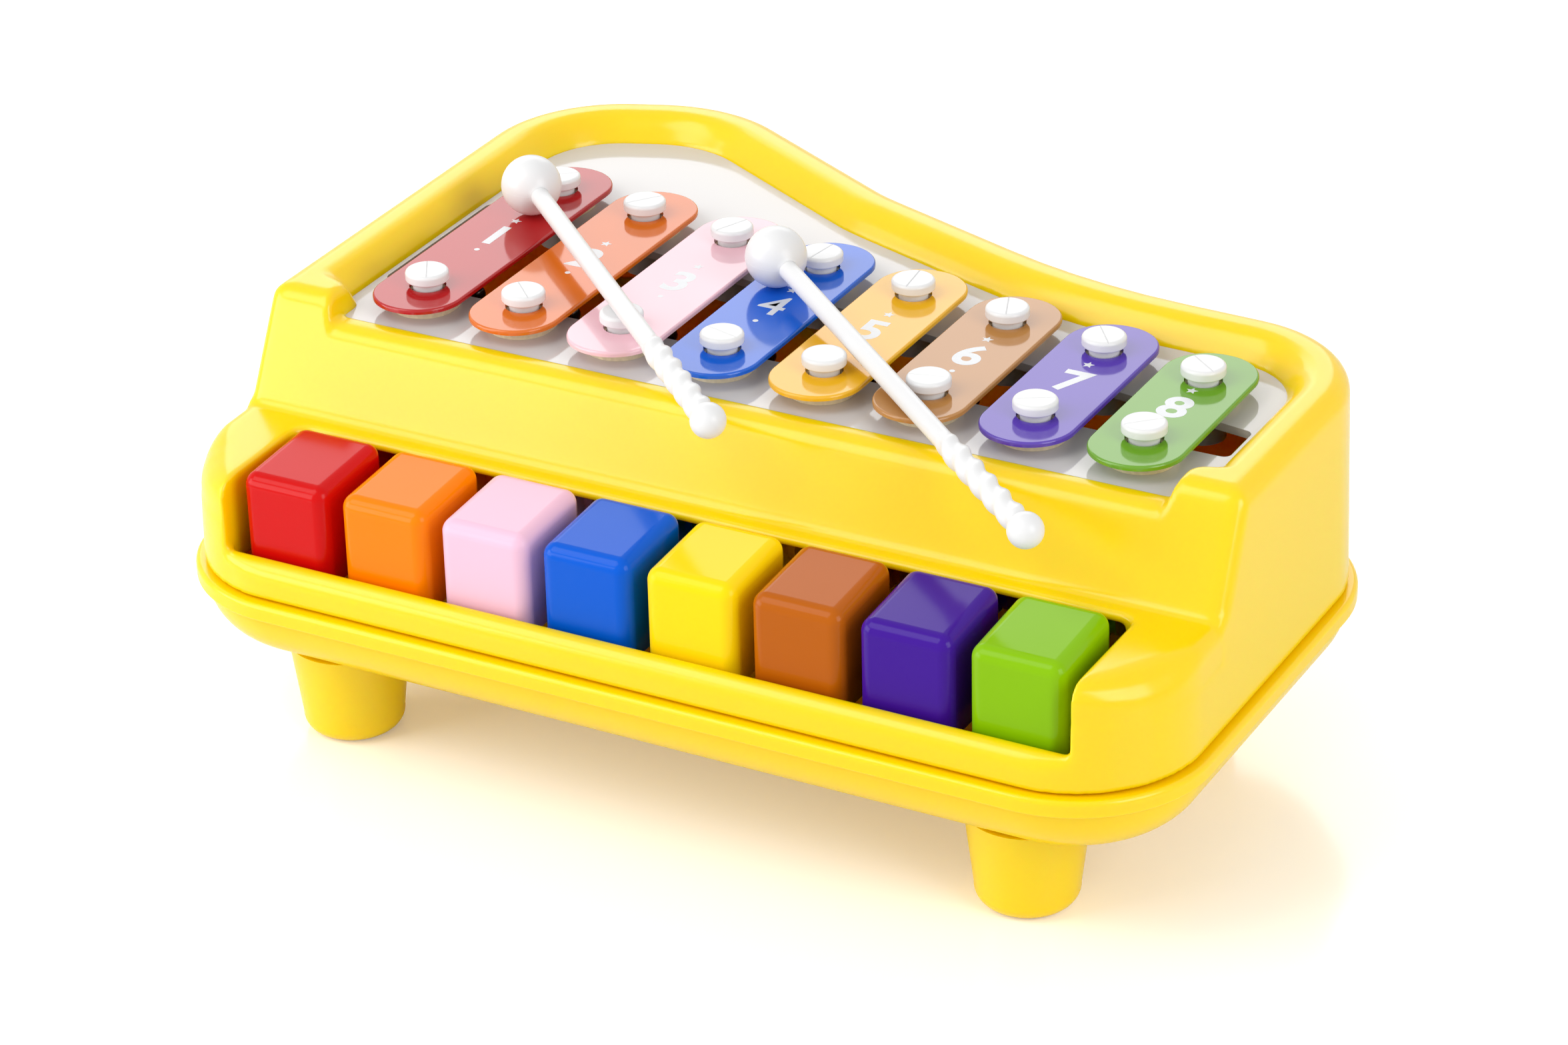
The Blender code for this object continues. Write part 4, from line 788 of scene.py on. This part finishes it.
def pan_shell():
    """Lower tray: curved wall, lip with a fine groove under it, tongue, and what carries keys and screws."""
    lip_top = SEAM_Z - CLEARANCE
    lip_bottom = lip_top - LIP_HEIGHT
    rings = []
    for angle in quarter_turn(20):
        inset = PAN_BEND_RADIUS * (1.0 - math.sin(angle))
        rings.append(pan_ring(inset, PAN_FLOOR_Z + PAN_BEND_RADIUS * (1.0 - math.cos(angle))))
    rings[-1] = pan_ring(0.0, lip_bottom - LIP_GROOVE)
    rings += [pan_ring(LIP_GROOVE, lip_bottom - LIP_GROOVE * LIP_GROOVE_SHARE),
              pan_ring(LIP_GROOVE, lip_bottom)]
    for across, height in arc(0.0, 0.0, LIP_ROUNDING / 2, 270.0, 180.0, 5):
        rings.append(pan_ring(LIP_ROUNDING / 2 + across - LIP_REACH, lip_bottom + LIP_ROUNDING / 2 + height))
    for across, height in arc(0.0, 0.0, LIP_ROUNDING, 180.0, 90.0, 7):
        rings.append(pan_ring(LIP_ROUNDING + across - LIP_REACH, lip_top - LIP_ROUNDING + height))
    tongue = WALL + CLEARANCE
    inside = tongue + TONGUE_THICKNESS
    rings += [pan_ring(tongue, lip_top), pan_ring(tongue, lip_top + TONGUE_HEIGHT),
              pan_ring(inside, lip_top + TONGUE_HEIGHT), pan_ring(inside, PAN_FLOOR_Z + PAN_BEND_RADIUS)]
    inner_bend = PAN_BEND_RADIUS - inside
    for angle in quarter_turn(6)[1:]:
        inset = PAN_BEND_RADIUS - inner_bend * math.cos(angle)
        rings.append(pan_ring(inset, PAN_FLOOR_Z + WALL + (PAN_BEND_RADIUS - WALL) * (1.0 - math.sin(angle))))
    pan = shape("pan_shell", loft(rings))
    root_z = PAN_FLOOR_Z + WALL / 2
    bracket_xs = [-ROW_HALF, -2 * NOTE_PITCH, 0.0, 2 * NOTE_PITCH, ROW_HALF]
    half = BRACKET_THICKNESS / 2
    low_y = AXLE_Y - BRACKET_DEPTH / 2
    half_rib = ROW_HALF - BRACKET_THICKNESS
    inner = [block((x - half, low_y, root_z), (x + half, low_y + BRACKET_DEPTH, AXLE_Z + BRACKET_CROWN))
             for x in bracket_xs]
    ribs = ((STOP_RIB_Y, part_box("key_stop_felt")[0].z), (REST_RIB_Y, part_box("hammer_rest_felt")[0].z))
    inner += [block((-half_rib, y - RIB_THICKNESS / 2, root_z),
                    (half_rib, y + RIB_THICKNESS / 2, felt_z - CLEARANCE)) for y, felt_z in ribs]
    join(pan, gather(inner))
    screws = [plan_place(f"case_screw_{number}") for number in SCREWS]
    join(pan, rounds(screws, COLUMN_RADIUS, root_z, COLUMN_JOINT_Z))
    bore = AXLE_RADIUS + CLEARANCE
    mouth = bore * BRACKET_MOUTH_SHARE
    mouth_angle = math.degrees(math.acos(BRACKET_MOUTH_SHARE))
    crown = AXLE_Z + BRACKET_CROWN + OVERRUN
    keyhole = arc(AXLE_Y, AXLE_Z, bore, mouth_angle, -180.0 - mouth_angle, 20)
    keyhole += [(AXLE_Y - mouth, crown), (AXLE_Y + mouth, crown)]
    cut(pan, extruded_in_x(keyhole, -ROW_HALF - BRACKET_THICKNESS, ROW_HALF + BRACKET_THICKNESS))
    recess = SCREW_HEAD_RADIUS + CLEARANCE
    recess_top = PAN_FLOOR_Z + SCREW_RECESS
    thread = SCREW_RADIUS + CLEARANCE
    profile = [(recess, PAN_FLOOR_Z - OVERRUN), (recess, recess_top), (thread, recess_top),
               (thread, COLUMN_JOINT_Z + OVERRUN)]
    cut(pan, gather([turned(profile, BORE_SIDES, x, y) for x, y in screws]))
    plugs = [plan_place(name) for name in FEET]
    plug = FOOT_PLUG_RADIUS + CLEARANCE
    cut(pan, rounds(plugs, plug, PAN_FLOOR_Z - OVERRUN, PAN_FLOOR_Z + WALL + OVERRUN))
    smooth(pan)
    return dress(pan, yellow_plastic, nodes=["base_pan"])


def feet():
    """Tapered hollow feet with a rounded bottom edge; all four share one mesh."""
    top = PAN_FLOOR_Z - CLEARANCE
    profile = [(0.0, 0.0), (FOOT_BOTTOM_RADIUS * 0.45, 0.0)]
    profile += arc(FOOT_BOTTOM_RADIUS - FOOT_ROUNDING, FOOT_ROUNDING, FOOT_ROUNDING, -90.0, 6.0, 10)
    profile += [(FOOT_TOP_RADIUS, top), (FOOT_TOP_RADIUS - FOOT_WALL, top),
                (FOOT_BOTTOM_RADIUS - FOOT_WALL, FOOT_WALL + FOOT_ROUNDING),
                (FOOT_BOTTOM_RADIUS - 2 * FOOT_WALL, FOOT_WALL), (FOOT_PLUG_RADIUS, FOOT_WALL),
                (FOOT_PLUG_RADIUS, top + FOOT_PLUG_HEIGHT), (0.0, top + FOOT_PLUG_HEIGHT)]
    first = shape("foot", turned(profile, 72))
    smooth(first, 40.0)
    for name in FEET:
        item = linked(f"{name}_moulding", first.data, (middle(name).x, middle(name).y, 0.0))
        dress(item, yellow_plastic, nodes=[name], moved=False)
    discard(first)


def bar_piece(note):
    """Sheet metal bar: flat face, rolled edges with a soft shoulder, round corners and two holes."""
    node = f"bar_{note}"
    low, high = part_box(node)
    centre = (low + high) / 2
    half_length = (high.y - low.y) / 2
    corners = four_corners(-BAR_WIDTH / 2, -half_length, BAR_WIDTH / 2, half_length, BAR_CORNER_RADIUS)
    inner_bend = BAR_EDGE_RADIUS - BAR_SHEET / 2
    ways = [(BAR_SHEET + inner_bend, -BAR_SHEET), (BAR_SHEET, -BAR_SHEET - inner_bend / 2),
            (BAR_SHEET, -BAR_EDGE_HEIGHT), (0.0, -BAR_EDGE_HEIGHT)]
    ways += arc(BAR_EDGE_RADIUS, -BAR_EDGE_RADIUS, BAR_EDGE_RADIUS, 180.0, 90.0, 8)
    rings = [level(rounded(inset_corners(corners, inset), 16), height) for inset, height in ways]
    item = shape(f"bar_skin_{note}", loft(rings))
    front = middle(f"peg_front_{note}").y - centre.y
    rear = middle(f"peg_rear_{note}").y - centre.y
    holes = [turned([(BAR_HOLE_RADIUS, -BAR_SHEET - OVERRUN), (BAR_HOLE_RADIUS, OVERRUN)], 40, 0.0, y)
             for y in (front, rear)]
    cut(item, gather(holes))
    smooth(item)
    item.location = (centre.x, centre.y, BAR_TOP_Z)
    paint = plastic(f"bar_paint_{note}", BAR_COLOURS[note - 1], BAR_GLOSS, grain=0.0012, mottle=0.03)
    dress(item, paint, nodes=[node], moved=False)
    note_mark(note, centre)


def note_mark(note, centre):
    """Printed number of the note with a small star above it and a dot below, lying on the bar."""
    text = bpy.data.curves.new(f"number_{note}", "FONT")
    text.body = str(note)
    text.size = MARK_SIZE
    text.offset = MARK_SWELL[note - 1]
    text.align_x = "CENTER"
    text.align_y = "CENTER"
    text.extrude = MARK_RISE
    drawn = linked("drawn", text)
    letters = bmesh.new()
    letters.from_mesh(evaluated_mesh(drawn))
    discard(drawn)
    star = []
    for step in range(2 * STAR_POINTS):
        reach = STAR_POINT_RADIUS if step % 2 == 0 else STAR_NOTCH_RADIUS
        angle = math.pi / 2 + math.tau * step / (2 * STAR_POINTS)
        star.append((reach * math.cos(angle), STAR_OFFSET + reach * math.sin(angle)))
    bodies = [letters, slab(star, -MARK_RISE, MARK_RISE),
              turned([(DOT_RADIUS, -MARK_RISE), (DOT_RADIUS, MARK_RISE)], 16, 0.0, -DOT_OFFSET)]
    item = shape(f"note_mark_{note}", gather(bodies))
    item.location = (centre.x, centre.y, BAR_TOP_Z)
    dress(item, print_ink, moved=False)


def peg_mesh():
    """Push peg's head with rounded edges and a shallow slot, and its shank."""
    shoulder = BED_TOP_Z + CLEARANCE - PEG_TOP_Z
    head = PEG_HEAD_RADIUS
    low = -PEG_HEAD_HEIGHT
    tail = shoulder - PEG_TAIL_LENGTH
    under = PEG_UNDER_ROUNDING
    profile = [(0.0, tail), (PEG_TAIL_RADIUS, tail), (PEG_TAIL_RADIUS, shoulder),
               (PEG_SHANK_RADIUS, shoulder), (PEG_SHANK_RADIUS, low)]
    profile += arc(head - under, low + under, under, -90.0, 0.0, 4)
    profile += arc(head - PEG_HEAD_ROUNDING, -PEG_HEAD_ROUNDING, PEG_HEAD_ROUNDING, 0.0, 90.0, 8)
    profile += [(head * 0.4, 0.0), (0.0, 0.0)]
    item = shape("peg", turned(profile, 48))
    groove = [(-PEG_GROOVE_HALF, PEG_GROOVE_RISE), (PEG_GROOVE_HALF, PEG_GROOVE_RISE),
              (0.0, -PEG_GROOVE_DEPTH)]
    cut(item, extruded_in_x(groove, -head, head))
    smooth(item, 40.0)
    return item


def pegs():
    """Sixteen pegs from one mesh, each turned another way, as they come out of the hand."""
    first = peg_mesh()
    turn = PEG_TURN_START
    for note in NOTES:
        for end in ("front", "rear"):
            node = f"peg_{end}_{note}"
            place = middle(node)
            turn += PEG_TURN_STEP
            item = linked(f"peg_cap_{end}_{note}", first.data, (place.x, place.y, PEG_TOP_Z), turn)
            dress(item, white_plastic, nodes=[node], moved=False)
    discard(first)


def key_mesh():
    """Cube key with soft edges and its lever in one moulding, measured from the middle of the axle."""
    front = KEY_FRONT_Y - AXLE_Y
    rear = front + KEY_DEPTH
    corners = four_corners(-KEY_WIDTH / 2, front, KEY_WIDTH / 2, rear, KEY_ROUNDING)
    top = KEY_TOP_Z - AXLE_Z
    bottom = KEY_BOTTOM_Z - AXLE_Z
    ways = [(KEY_WALL, top - KEY_WALL), (KEY_WALL, bottom), (0.0, bottom)]
    ways += arc(KEY_ROUNDING, top - KEY_ROUNDING, KEY_ROUNDING, 180.0, 90.0, 10)
    cube = loft([level(rounded(inset_corners(corners, inset), 10), height) for inset, height in ways])
    for vertex in cube.verts:
        if vertex.co.z > top - KEY_ROUNDING - SKIN:
            vertex.co.z += (KEY_TOP_FALL + KEY_TOP_RISE) * (vertex.co.y - front) / KEY_DEPTH - KEY_TOP_FALL
    item = shape("key", cube)
    half_lever = LEVER_WIDTH / 2
    half_height = LEVER_HEIGHT / 2
    root = rear - KEY_WALL / 2
    riser_front = TIP_Y - AXLE_Y - RISER_DEPTH / 2
    riser_rear = riser_front + RISER_DEPTH
    riser_top = RISER_TOP_Z - AXLE_Z
    lever = [(root, -half_height, SKIN), (riser_rear, -half_height, RISER_BEND_RADIUS),
             (riser_rear, riser_top, SKIN), (riser_front, riser_top, SKIN),
             (riser_front, half_height, RISER_BEND_RADIUS), (root, half_height, SKIN)]
    join(item, extruded_in_x(rounded(lever, 6), -half_lever, half_lever))
    join(item, extruded_in_x(circle(HUB_RADIUS, 40), -HUB_WIDTH / 2, HUB_WIDTH / 2))
    cut(item, extruded_in_x(circle(AXLE_RADIUS + CLEARANCE, 24), -HUB_WIDTH, HUB_WIDTH))
    cut(item, turned([(TIP_STUD_RADIUS + CLEARANCE, riser_top - TIP_STUD_LENGTH - CLEARANCE),
                      (TIP_STUD_RADIUS + CLEARANCE, riser_top + OVERRUN)], 16, 0.0, TIP_Y - AXLE_Y))
    smooth(item)
    return item


def hammer_tip_mesh():
    """Polished ball on a neck and a collar, with the stud that sits in the lever."""
    collar_low = RISER_TOP_Z + CLEARANCE - AXLE_Z
    collar_high = collar_low + TIP_COLLAR_HEIGHT
    ball_z = TIP_BALL_Z - AXLE_Z
    neck_angle = math.degrees(math.acos(TIP_NECK_RADIUS / TIP_BALL_RADIUS))
    profile = [(0.0, collar_low - TIP_STUD_LENGTH), (TIP_STUD_RADIUS, collar_low - TIP_STUD_LENGTH),
               (TIP_STUD_RADIUS, collar_low), (TIP_COLLAR_RADIUS - TIP_LOW_CHAMFER, collar_low),
               (TIP_COLLAR_RADIUS, collar_low + TIP_LOW_CHAMFER),
               (TIP_COLLAR_RADIUS, collar_high - TIP_HIGH_CHAMFER),
               (TIP_COLLAR_RADIUS - TIP_HIGH_CHAMFER, collar_high), (TIP_NECK_RADIUS, collar_high)]
    profile += arc(0.0, ball_z, TIP_BALL_RADIUS, -neck_angle, 86.0, 16) + [(0.0, ball_z + TIP_BALL_RADIUS)]
    item = shape("tip", turned(profile, 32, 0.0, TIP_Y - AXLE_Y))
    smooth(item)
    return item


def keys():
    """Eight keys from one mould, each in its own colour, with the hammer tip that it carries."""
    first = key_mesh()
    tip = hammer_tip_mesh()
    for note in NOTES:
        body = f"key_{note}"
        place = ((note - MIDDLE_NOTE) * NOTE_PITCH, AXLE_Y + ORIGIN_Y, AXLE_Z)
        key = linked(f"key_moulding_{note}", first.data.copy(), place)
        ball = linked(f"tip_ball_{note}", tip.data, place)
        colour = plastic(f"key_plastic_{note}", KEY_COLOURS[note - 1], KEY_GLOSS, specular=0.14,
                         mottle=0.02)
        dress(key, colour, body=body, nodes=[body], moved=False)
        dress(ball, dark_steel, body=body, nodes=[f"hammer_tip_{note}"], moved=False)
    discard(first, tip)


def bed():
    """Flat glossy bed with the hammers' slot and a boss under each peg, and the felt pads under the bars."""
    plan = rounded(recess_corners(BED_OVERLAP, BED_FRONT_Y - BED_OVERLAP), 10)
    plate = shape("bed_plate", slab(plan, BED_TOP_Z - BED_THICKNESS, BED_TOP_Z))
    cut(plate, slab(rounded(SLOT_CORNERS, 8), BED_TOP_Z - BED_THICKNESS - OVERRUN, BED_TOP_Z + OVERRUN))
    fronts, rears = [[plan_place(f"peg_{end}_{note}") for note in NOTES] for end in ("front", "rear")]
    bore = PEG_SHANK_RADIUS + CLEARANCE
    boss_end = BED_TOP_Z - BED_THICKNESS - BOSS_LENGTH
    join(plate, rounds(fronts + rears, bore + BOSS_WALL, boss_end, BED_TOP_Z - BED_THICKNESS / 2))
    cut(plate, rounds(fronts + rears, bore, boss_end - OVERRUN, BED_TOP_Z + OVERRUN))
    smooth(plate)
    dress(plate, pearl_plastic, nodes=["bar_bed"])

    radius = FELT_DISC_RADIUS
    ways = ((0.0, BED_TOP_Z + SKIN), (0.0, BAR_TOP_Z - BAR_SHEET - 2 * FELT_DISC_CHAMFER),
            (FELT_DISC_CHAMFER, BAR_TOP_Z - BAR_SHEET - CLEARANCE))
    pads = []
    for places, to_front, to_rear in ((fronts, FELT_DISC_REACH, 0.0), (rears, 0.0, FELT_DISC_REACH)):
        for x, y in places:
            ends = four_corners(x - radius, y - radius - to_front, x + radius, y + radius + to_rear,
                                radius - SKIN)
            pads.append(loft([level(rounded(inset_corners(ends, inset), 10), z) for inset, z in ways]))
    pad = shape("felt_pads", gather(pads))
    cut(pad, rounds(fronts + rears, bore, BED_TOP_Z - OVERRUN, BAR_TOP_Z))
    smooth(pad)
    dress(pad, cream_felt)


def screws():
    """Pan-head screws with a cross recess, seen from below; all four share one mesh."""
    head = SCREW_HEAD_RADIUS
    tall = SCREW_HEAD_HEIGHT
    profile = [(head * across, -tall * down) for across, down in SCREW_CROWN]
    profile += [(head, 0.0), (SCREW_RADIUS, 0.0), (SCREW_RADIUS, SCREW_LENGTH - SCREW_RADIUS),
                (0.0, SCREW_LENGTH)]
    first = shape("screw", turned(profile, 40))
    reach, half = head * CROSS_REACH_SHARE, head * CROSS_HALF_SHARE
    for half_x, half_y in ((reach, half), (half, reach)):
        cut(first, block((-half_x, -half_y, -tall - OVERRUN), (half_x, half_y, -tall * CROSS_FLOOR_SHARE)))
    smooth(first)
    for number in SCREWS:
        node = f"case_screw_{number}"
        place = (middle(node).x, middle(node).y, PAN_FLOOR_Z + SCREW_RECESS - CLEARANCE)
        item = linked(f"screw_steel_{number}", first.data, place, SCREW_TURN * number)
        dress(item, bright_steel, nodes=[node], moved=False)
    discard(first)


def stick_section(radius, lobe_depth, twist, along):
    """Ring round the stick's own axis; two lobes that turn along it make the twisted grip."""
    ring = []
    for angle in full_turn(STICK_SIDES):
        reach = radius - lobe_depth * (0.5 - 0.5 * math.cos(2 * (angle - twist)))
        ring.append((reach * math.cos(angle), reach * math.sin(angle), along))
    return ring


def mallet(number, head, aim, rest, rest_z):
    """Ball head with its faint parting line, and a stick with a twisted grip that ends in a bulb."""
    body = f"mallet_{number}"
    centre = Vector((head[0], head[1], BAR_TOP_Z + CLEARANCE + MALLET_HEAD_RADIUS))
    along = Vector((aim[0] - head[0], aim[1] - head[1])).normalized()
    reach = Vector((rest[0] - head[0], rest[1] - head[1])).dot(along)
    direction = Vector((along.x, along.y, (rest_z + MALLET_STICK_RADIUS + CLEARANCE - centre.z) / reach))
    socket_floor = MALLET_HEAD_RADIUS - MALLET_SOCKET_DEPTH
    neck = MALLET_STICK_RADIUS + MALLET_NECK_GAP
    mouth = math.degrees(math.acos((neck + MALLET_MOUTH_CHAMFER) / MALLET_HEAD_RADIUS))
    mouth_z = MALLET_HEAD_RADIUS * math.sin(math.radians(mouth))
    ball = [(0.0, -MALLET_HEAD_RADIUS)] + arc(0.0, 0.0, MALLET_HEAD_RADIUS, -87.0, mouth, 40)
    ball += [(neck, mouth_z + MALLET_MOUTH_CHAMFER), (neck, socket_floor), (0.0, socket_floor)]
    root, crest = MALLET_HEAD_RADIUS - SEAM_ROOT, MALLET_HEAD_RADIUS + SEAM_PROUD
    seam = [(root, -SEAM_HALF_FOOT), (crest, -SEAM_HALF_CREST), (crest, SEAM_HALF_CREST),
            (root, SEAM_HALF_FOOT)]
    rings = [[(across * math.cos(angle), height, across * math.sin(angle)) for across, height in seam]
             for angle in full_turn(SEAM_STEPS)]
    head_piece = shape(f"mallet_ball_{number}", gather([turned(ball, BALL_SIDES), loft(rings, closed=True)]))
    grip_start = MALLET_LENGTH * MALLET_GRIP_SHARE
    grip_length = MALLET_LENGTH - MALLET_BULB_RADIUS - grip_start
    swell = MALLET_GRIP_RADIUS - MALLET_STICK_RADIUS
    rings = [stick_section(MALLET_STICK_RADIUS, 0.0, 0.0, place) for place in
             (socket_floor + CLEARANCE, grip_start * 0.3, grip_start * 0.6, grip_start)]
    for index in range(1, GRIP_SECTIONS):
        share = index / GRIP_SECTIONS
        rise = min(1.0, share / GRIP_SWELL_SHARE)
        rise = rise * rise * (3.0 - 2.0 * rise)
        radius = MALLET_STICK_RADIUS + swell * rise
        rings.append(stick_section(radius, radius * GRIP_LOBE_SHARE * rise, math.tau * share * GRIP_TURNS,
                                   grip_start + grip_length * share))
    for radius, place in arc(0.0, MALLET_LENGTH, MALLET_BULB_RADIUS, -54.0, 84.0, 18):
        rings.append(stick_section(radius, 0.0, 0.0, place))
    rings.append([(0.0, 0.0, MALLET_LENGTH + MALLET_BULB_RADIUS)])
    stick_piece = shape(f"mallet_grip_{number}", loft(rings))
    for item, node in ((head_piece, f"mallet_head_{number}"), (stick_piece, f"mallet_stick_{number}")):
        smooth(item, 50.0)
        item.location = centre + Vector((0.0, ORIGIN_Y, 0.0))
        item.rotation_mode = "QUATERNION"
        item.rotation_quaternion = direction.to_track_quat("Z", "Y")
        dress(item, mallet_plastic, body=body, nodes=[node], moved=False)


def carried_over():
    """Axle and inner felts stay as the CAD has them, with the finished materials."""
    # The inner felts' dark brown is their colour and partly painted shade for the dim inside of the slot
    materials = {"key_axle": bright_steel, "key_stop_felt": dark_felt_and_slot_shade, "hammer_rest_felt": dark_felt_and_slot_shade}
    for name, material in materials.items():
        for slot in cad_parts[name].material_slots:
            slot.material = material


def look_at_matrix():
    """Camera's place and turn, from its yaw, pitch and roll about the target."""
    forward = Vector((-math.sin(CAMERA_YAW) * math.cos(CAMERA_PITCH),
                      math.cos(CAMERA_YAW) * math.cos(CAMERA_PITCH), -math.sin(CAMERA_PITCH)))
    right = Vector((math.cos(CAMERA_YAW), math.sin(CAMERA_YAW), 0.0))
    up = right.cross(forward)
    rolled_right = right * math.cos(CAMERA_ROLL) + up * math.sin(CAMERA_ROLL)
    rolled_up = up * math.cos(CAMERA_ROLL) - right * math.sin(CAMERA_ROLL)
    turn = Matrix((rolled_right, rolled_up, -forward)).transposed().to_4x4()
    return Matrix.Translation(CAMERA_TARGET - forward * CAMERA_DISTANCE) @ turn


def camera():
    data = bpy.data.cameras.new("camera")
    data.lens = CAMERA_LENS
    data.sensor_width = CAMERA_SENSOR
    item = linked("camera", data)
    item.matrix_world = look_at_matrix()
    bpy.context.scene.camera = item


def soft_box(name, place, target, size, power):
    data = bpy.data.lights.new(name, "AREA")
    data.shape = "RECTANGLE"
    data.size, data.size_y = size
    data.energy = power
    item = linked(name, data, place)
    item.rotation_euler = (Vector(target) - Vector(place)).to_track_quat("-Z", "Y").to_euler()


def studio():
    """Pale floor that keeps the shadow, white surroundings and large soft boxes."""
    world = bpy.data.worlds.new("studio")
    bpy.context.scene.world = world
    world.use_nodes = True
    nodes, links = world.node_tree.nodes, world.node_tree.links
    fill = nodes["Background"]
    fill.inputs["Color"].default_value = (1.0, 1.0, 1.0, 1.0)
    fill.inputs["Strength"].default_value = WORLD_FILL
    white = nodes.new("ShaderNodeBackground")
    white.inputs["Color"].default_value = (1.0, 1.0, 1.0, 1.0)
    white.inputs["Strength"].default_value = WHITE_STRENGTH
    rays = nodes.new("ShaderNodeLightPath")
    seen = rays.outputs["Is Camera Ray"]
    for kind in ("Is Transmission Ray", "Is Glossy Ray"):
        either = nodes.new("ShaderNodeMath")
        either.operation = "MAXIMUM"
        links.new(seen, either.inputs[0])
        links.new(rays.outputs[kind], either.inputs[1])
        seen = either.outputs["Value"]
    mix = nodes.new("ShaderNodeMixShader")
    links.new(seen, mix.inputs["Fac"])
    links.new(fill.outputs["Background"], mix.inputs[1])
    links.new(white.outputs["Background"], mix.inputs[2])
    links.new(mix.outputs["Shader"], nodes["World Output"].inputs["Surface"])

    bpy.ops.mesh.primitive_plane_add(size=FLOOR_SIZE, location=(0.0, 0.0, -FLOOR_DROP))
    floor = bpy.context.object
    floor.name = "floor"
    material = bpy.data.materials.new("pale_floor")
    material.use_nodes = True
    nodes, links = material.node_tree.nodes, material.node_tree.links
    shader = nodes["Principled BSDF"]
    shader.inputs["Base Color"].default_value = (FLOOR_SHADE, FLOOR_SHADE, FLOOR_SHADE, 1.0)
    shader.inputs["Roughness"].default_value = FLOOR_ROUGHNESS
    # The warm glow is painted light: the floor clips to white where lit and shows it in the toy's shadow
    painted_warm_glow = nodes.new("ShaderNodeEmission")
    painted_warm_glow.inputs["Color"].default_value = (*FLOOR_PAINTED_WARM_GLOW, 1.0)
    painted_warm_glow.inputs["Strength"].default_value = FLOOR_PAINTED_WARM_GLOW_STRENGTH
    both = nodes.new("ShaderNodeAddShader")
    rays = nodes.new("ShaderNodeLightPath")
    mix = nodes.new("ShaderNodeMixShader")
    links.new(shader.outputs["BSDF"], both.inputs[0])
    links.new(painted_warm_glow.outputs["Emission"], both.inputs[1])
    links.new(rays.outputs["Is Camera Ray"], mix.inputs["Fac"])
    links.new(shader.outputs["BSDF"], mix.inputs[1])
    links.new(both.outputs["Shader"], mix.inputs[2])
    links.new(mix.outputs["Shader"], nodes["Material Output"].inputs["Surface"])
    floor.data.materials.append(material)
    for name, settings in LAMPS.items():
        soft_box(name, *settings)


yellow_plastic = glowing(plastic("yellow_plastic", YELLOW, roughness=0.2, specular=0.42, mottle=0.02),
                         weight=0.45)
white_plastic = plastic("white_plastic", WHITE, roughness=0.26, specular=0.4, mottle=0.015)
mallet_plastic = plastic("mallet_plastic", WHITE, roughness=0.3, specular=0.4, mottle=0.02)
pearl_plastic = plastic("pearl_plastic", PEARL, roughness=0.075, specular=0.55, mottle=0.03)
print_ink = plastic("print_ink", INK, roughness=0.3, specular=0.4, mottle=0.05, drift_scale=400.0)
cream_felt = felt("cream_felt", CREAM)
dark_felt_and_slot_shade = felt("dark_felt_and_slot_shade", FELT_BROWN_AND_SLOT_SHADE)
bright_steel = metal("bright_steel", STEEL, roughness=0.25)
dark_steel = metal("dark_steel", DARK_STEEL, roughness=0.22)

housing_shell()
pan_shell()
feet()
bed()
for note in NOTES:
    bar_piece(note)
pegs()
keys()
screws()
for number, place in enumerate(zip(MALLET_HEADS, MALLET_AIMS, MALLET_RESTS, MALLET_REST_ZS), 1):
    mallet(number, *place)
carried_over()
camera()
studio()
bpy.context.scene.view_settings.view_transform = "Standard"
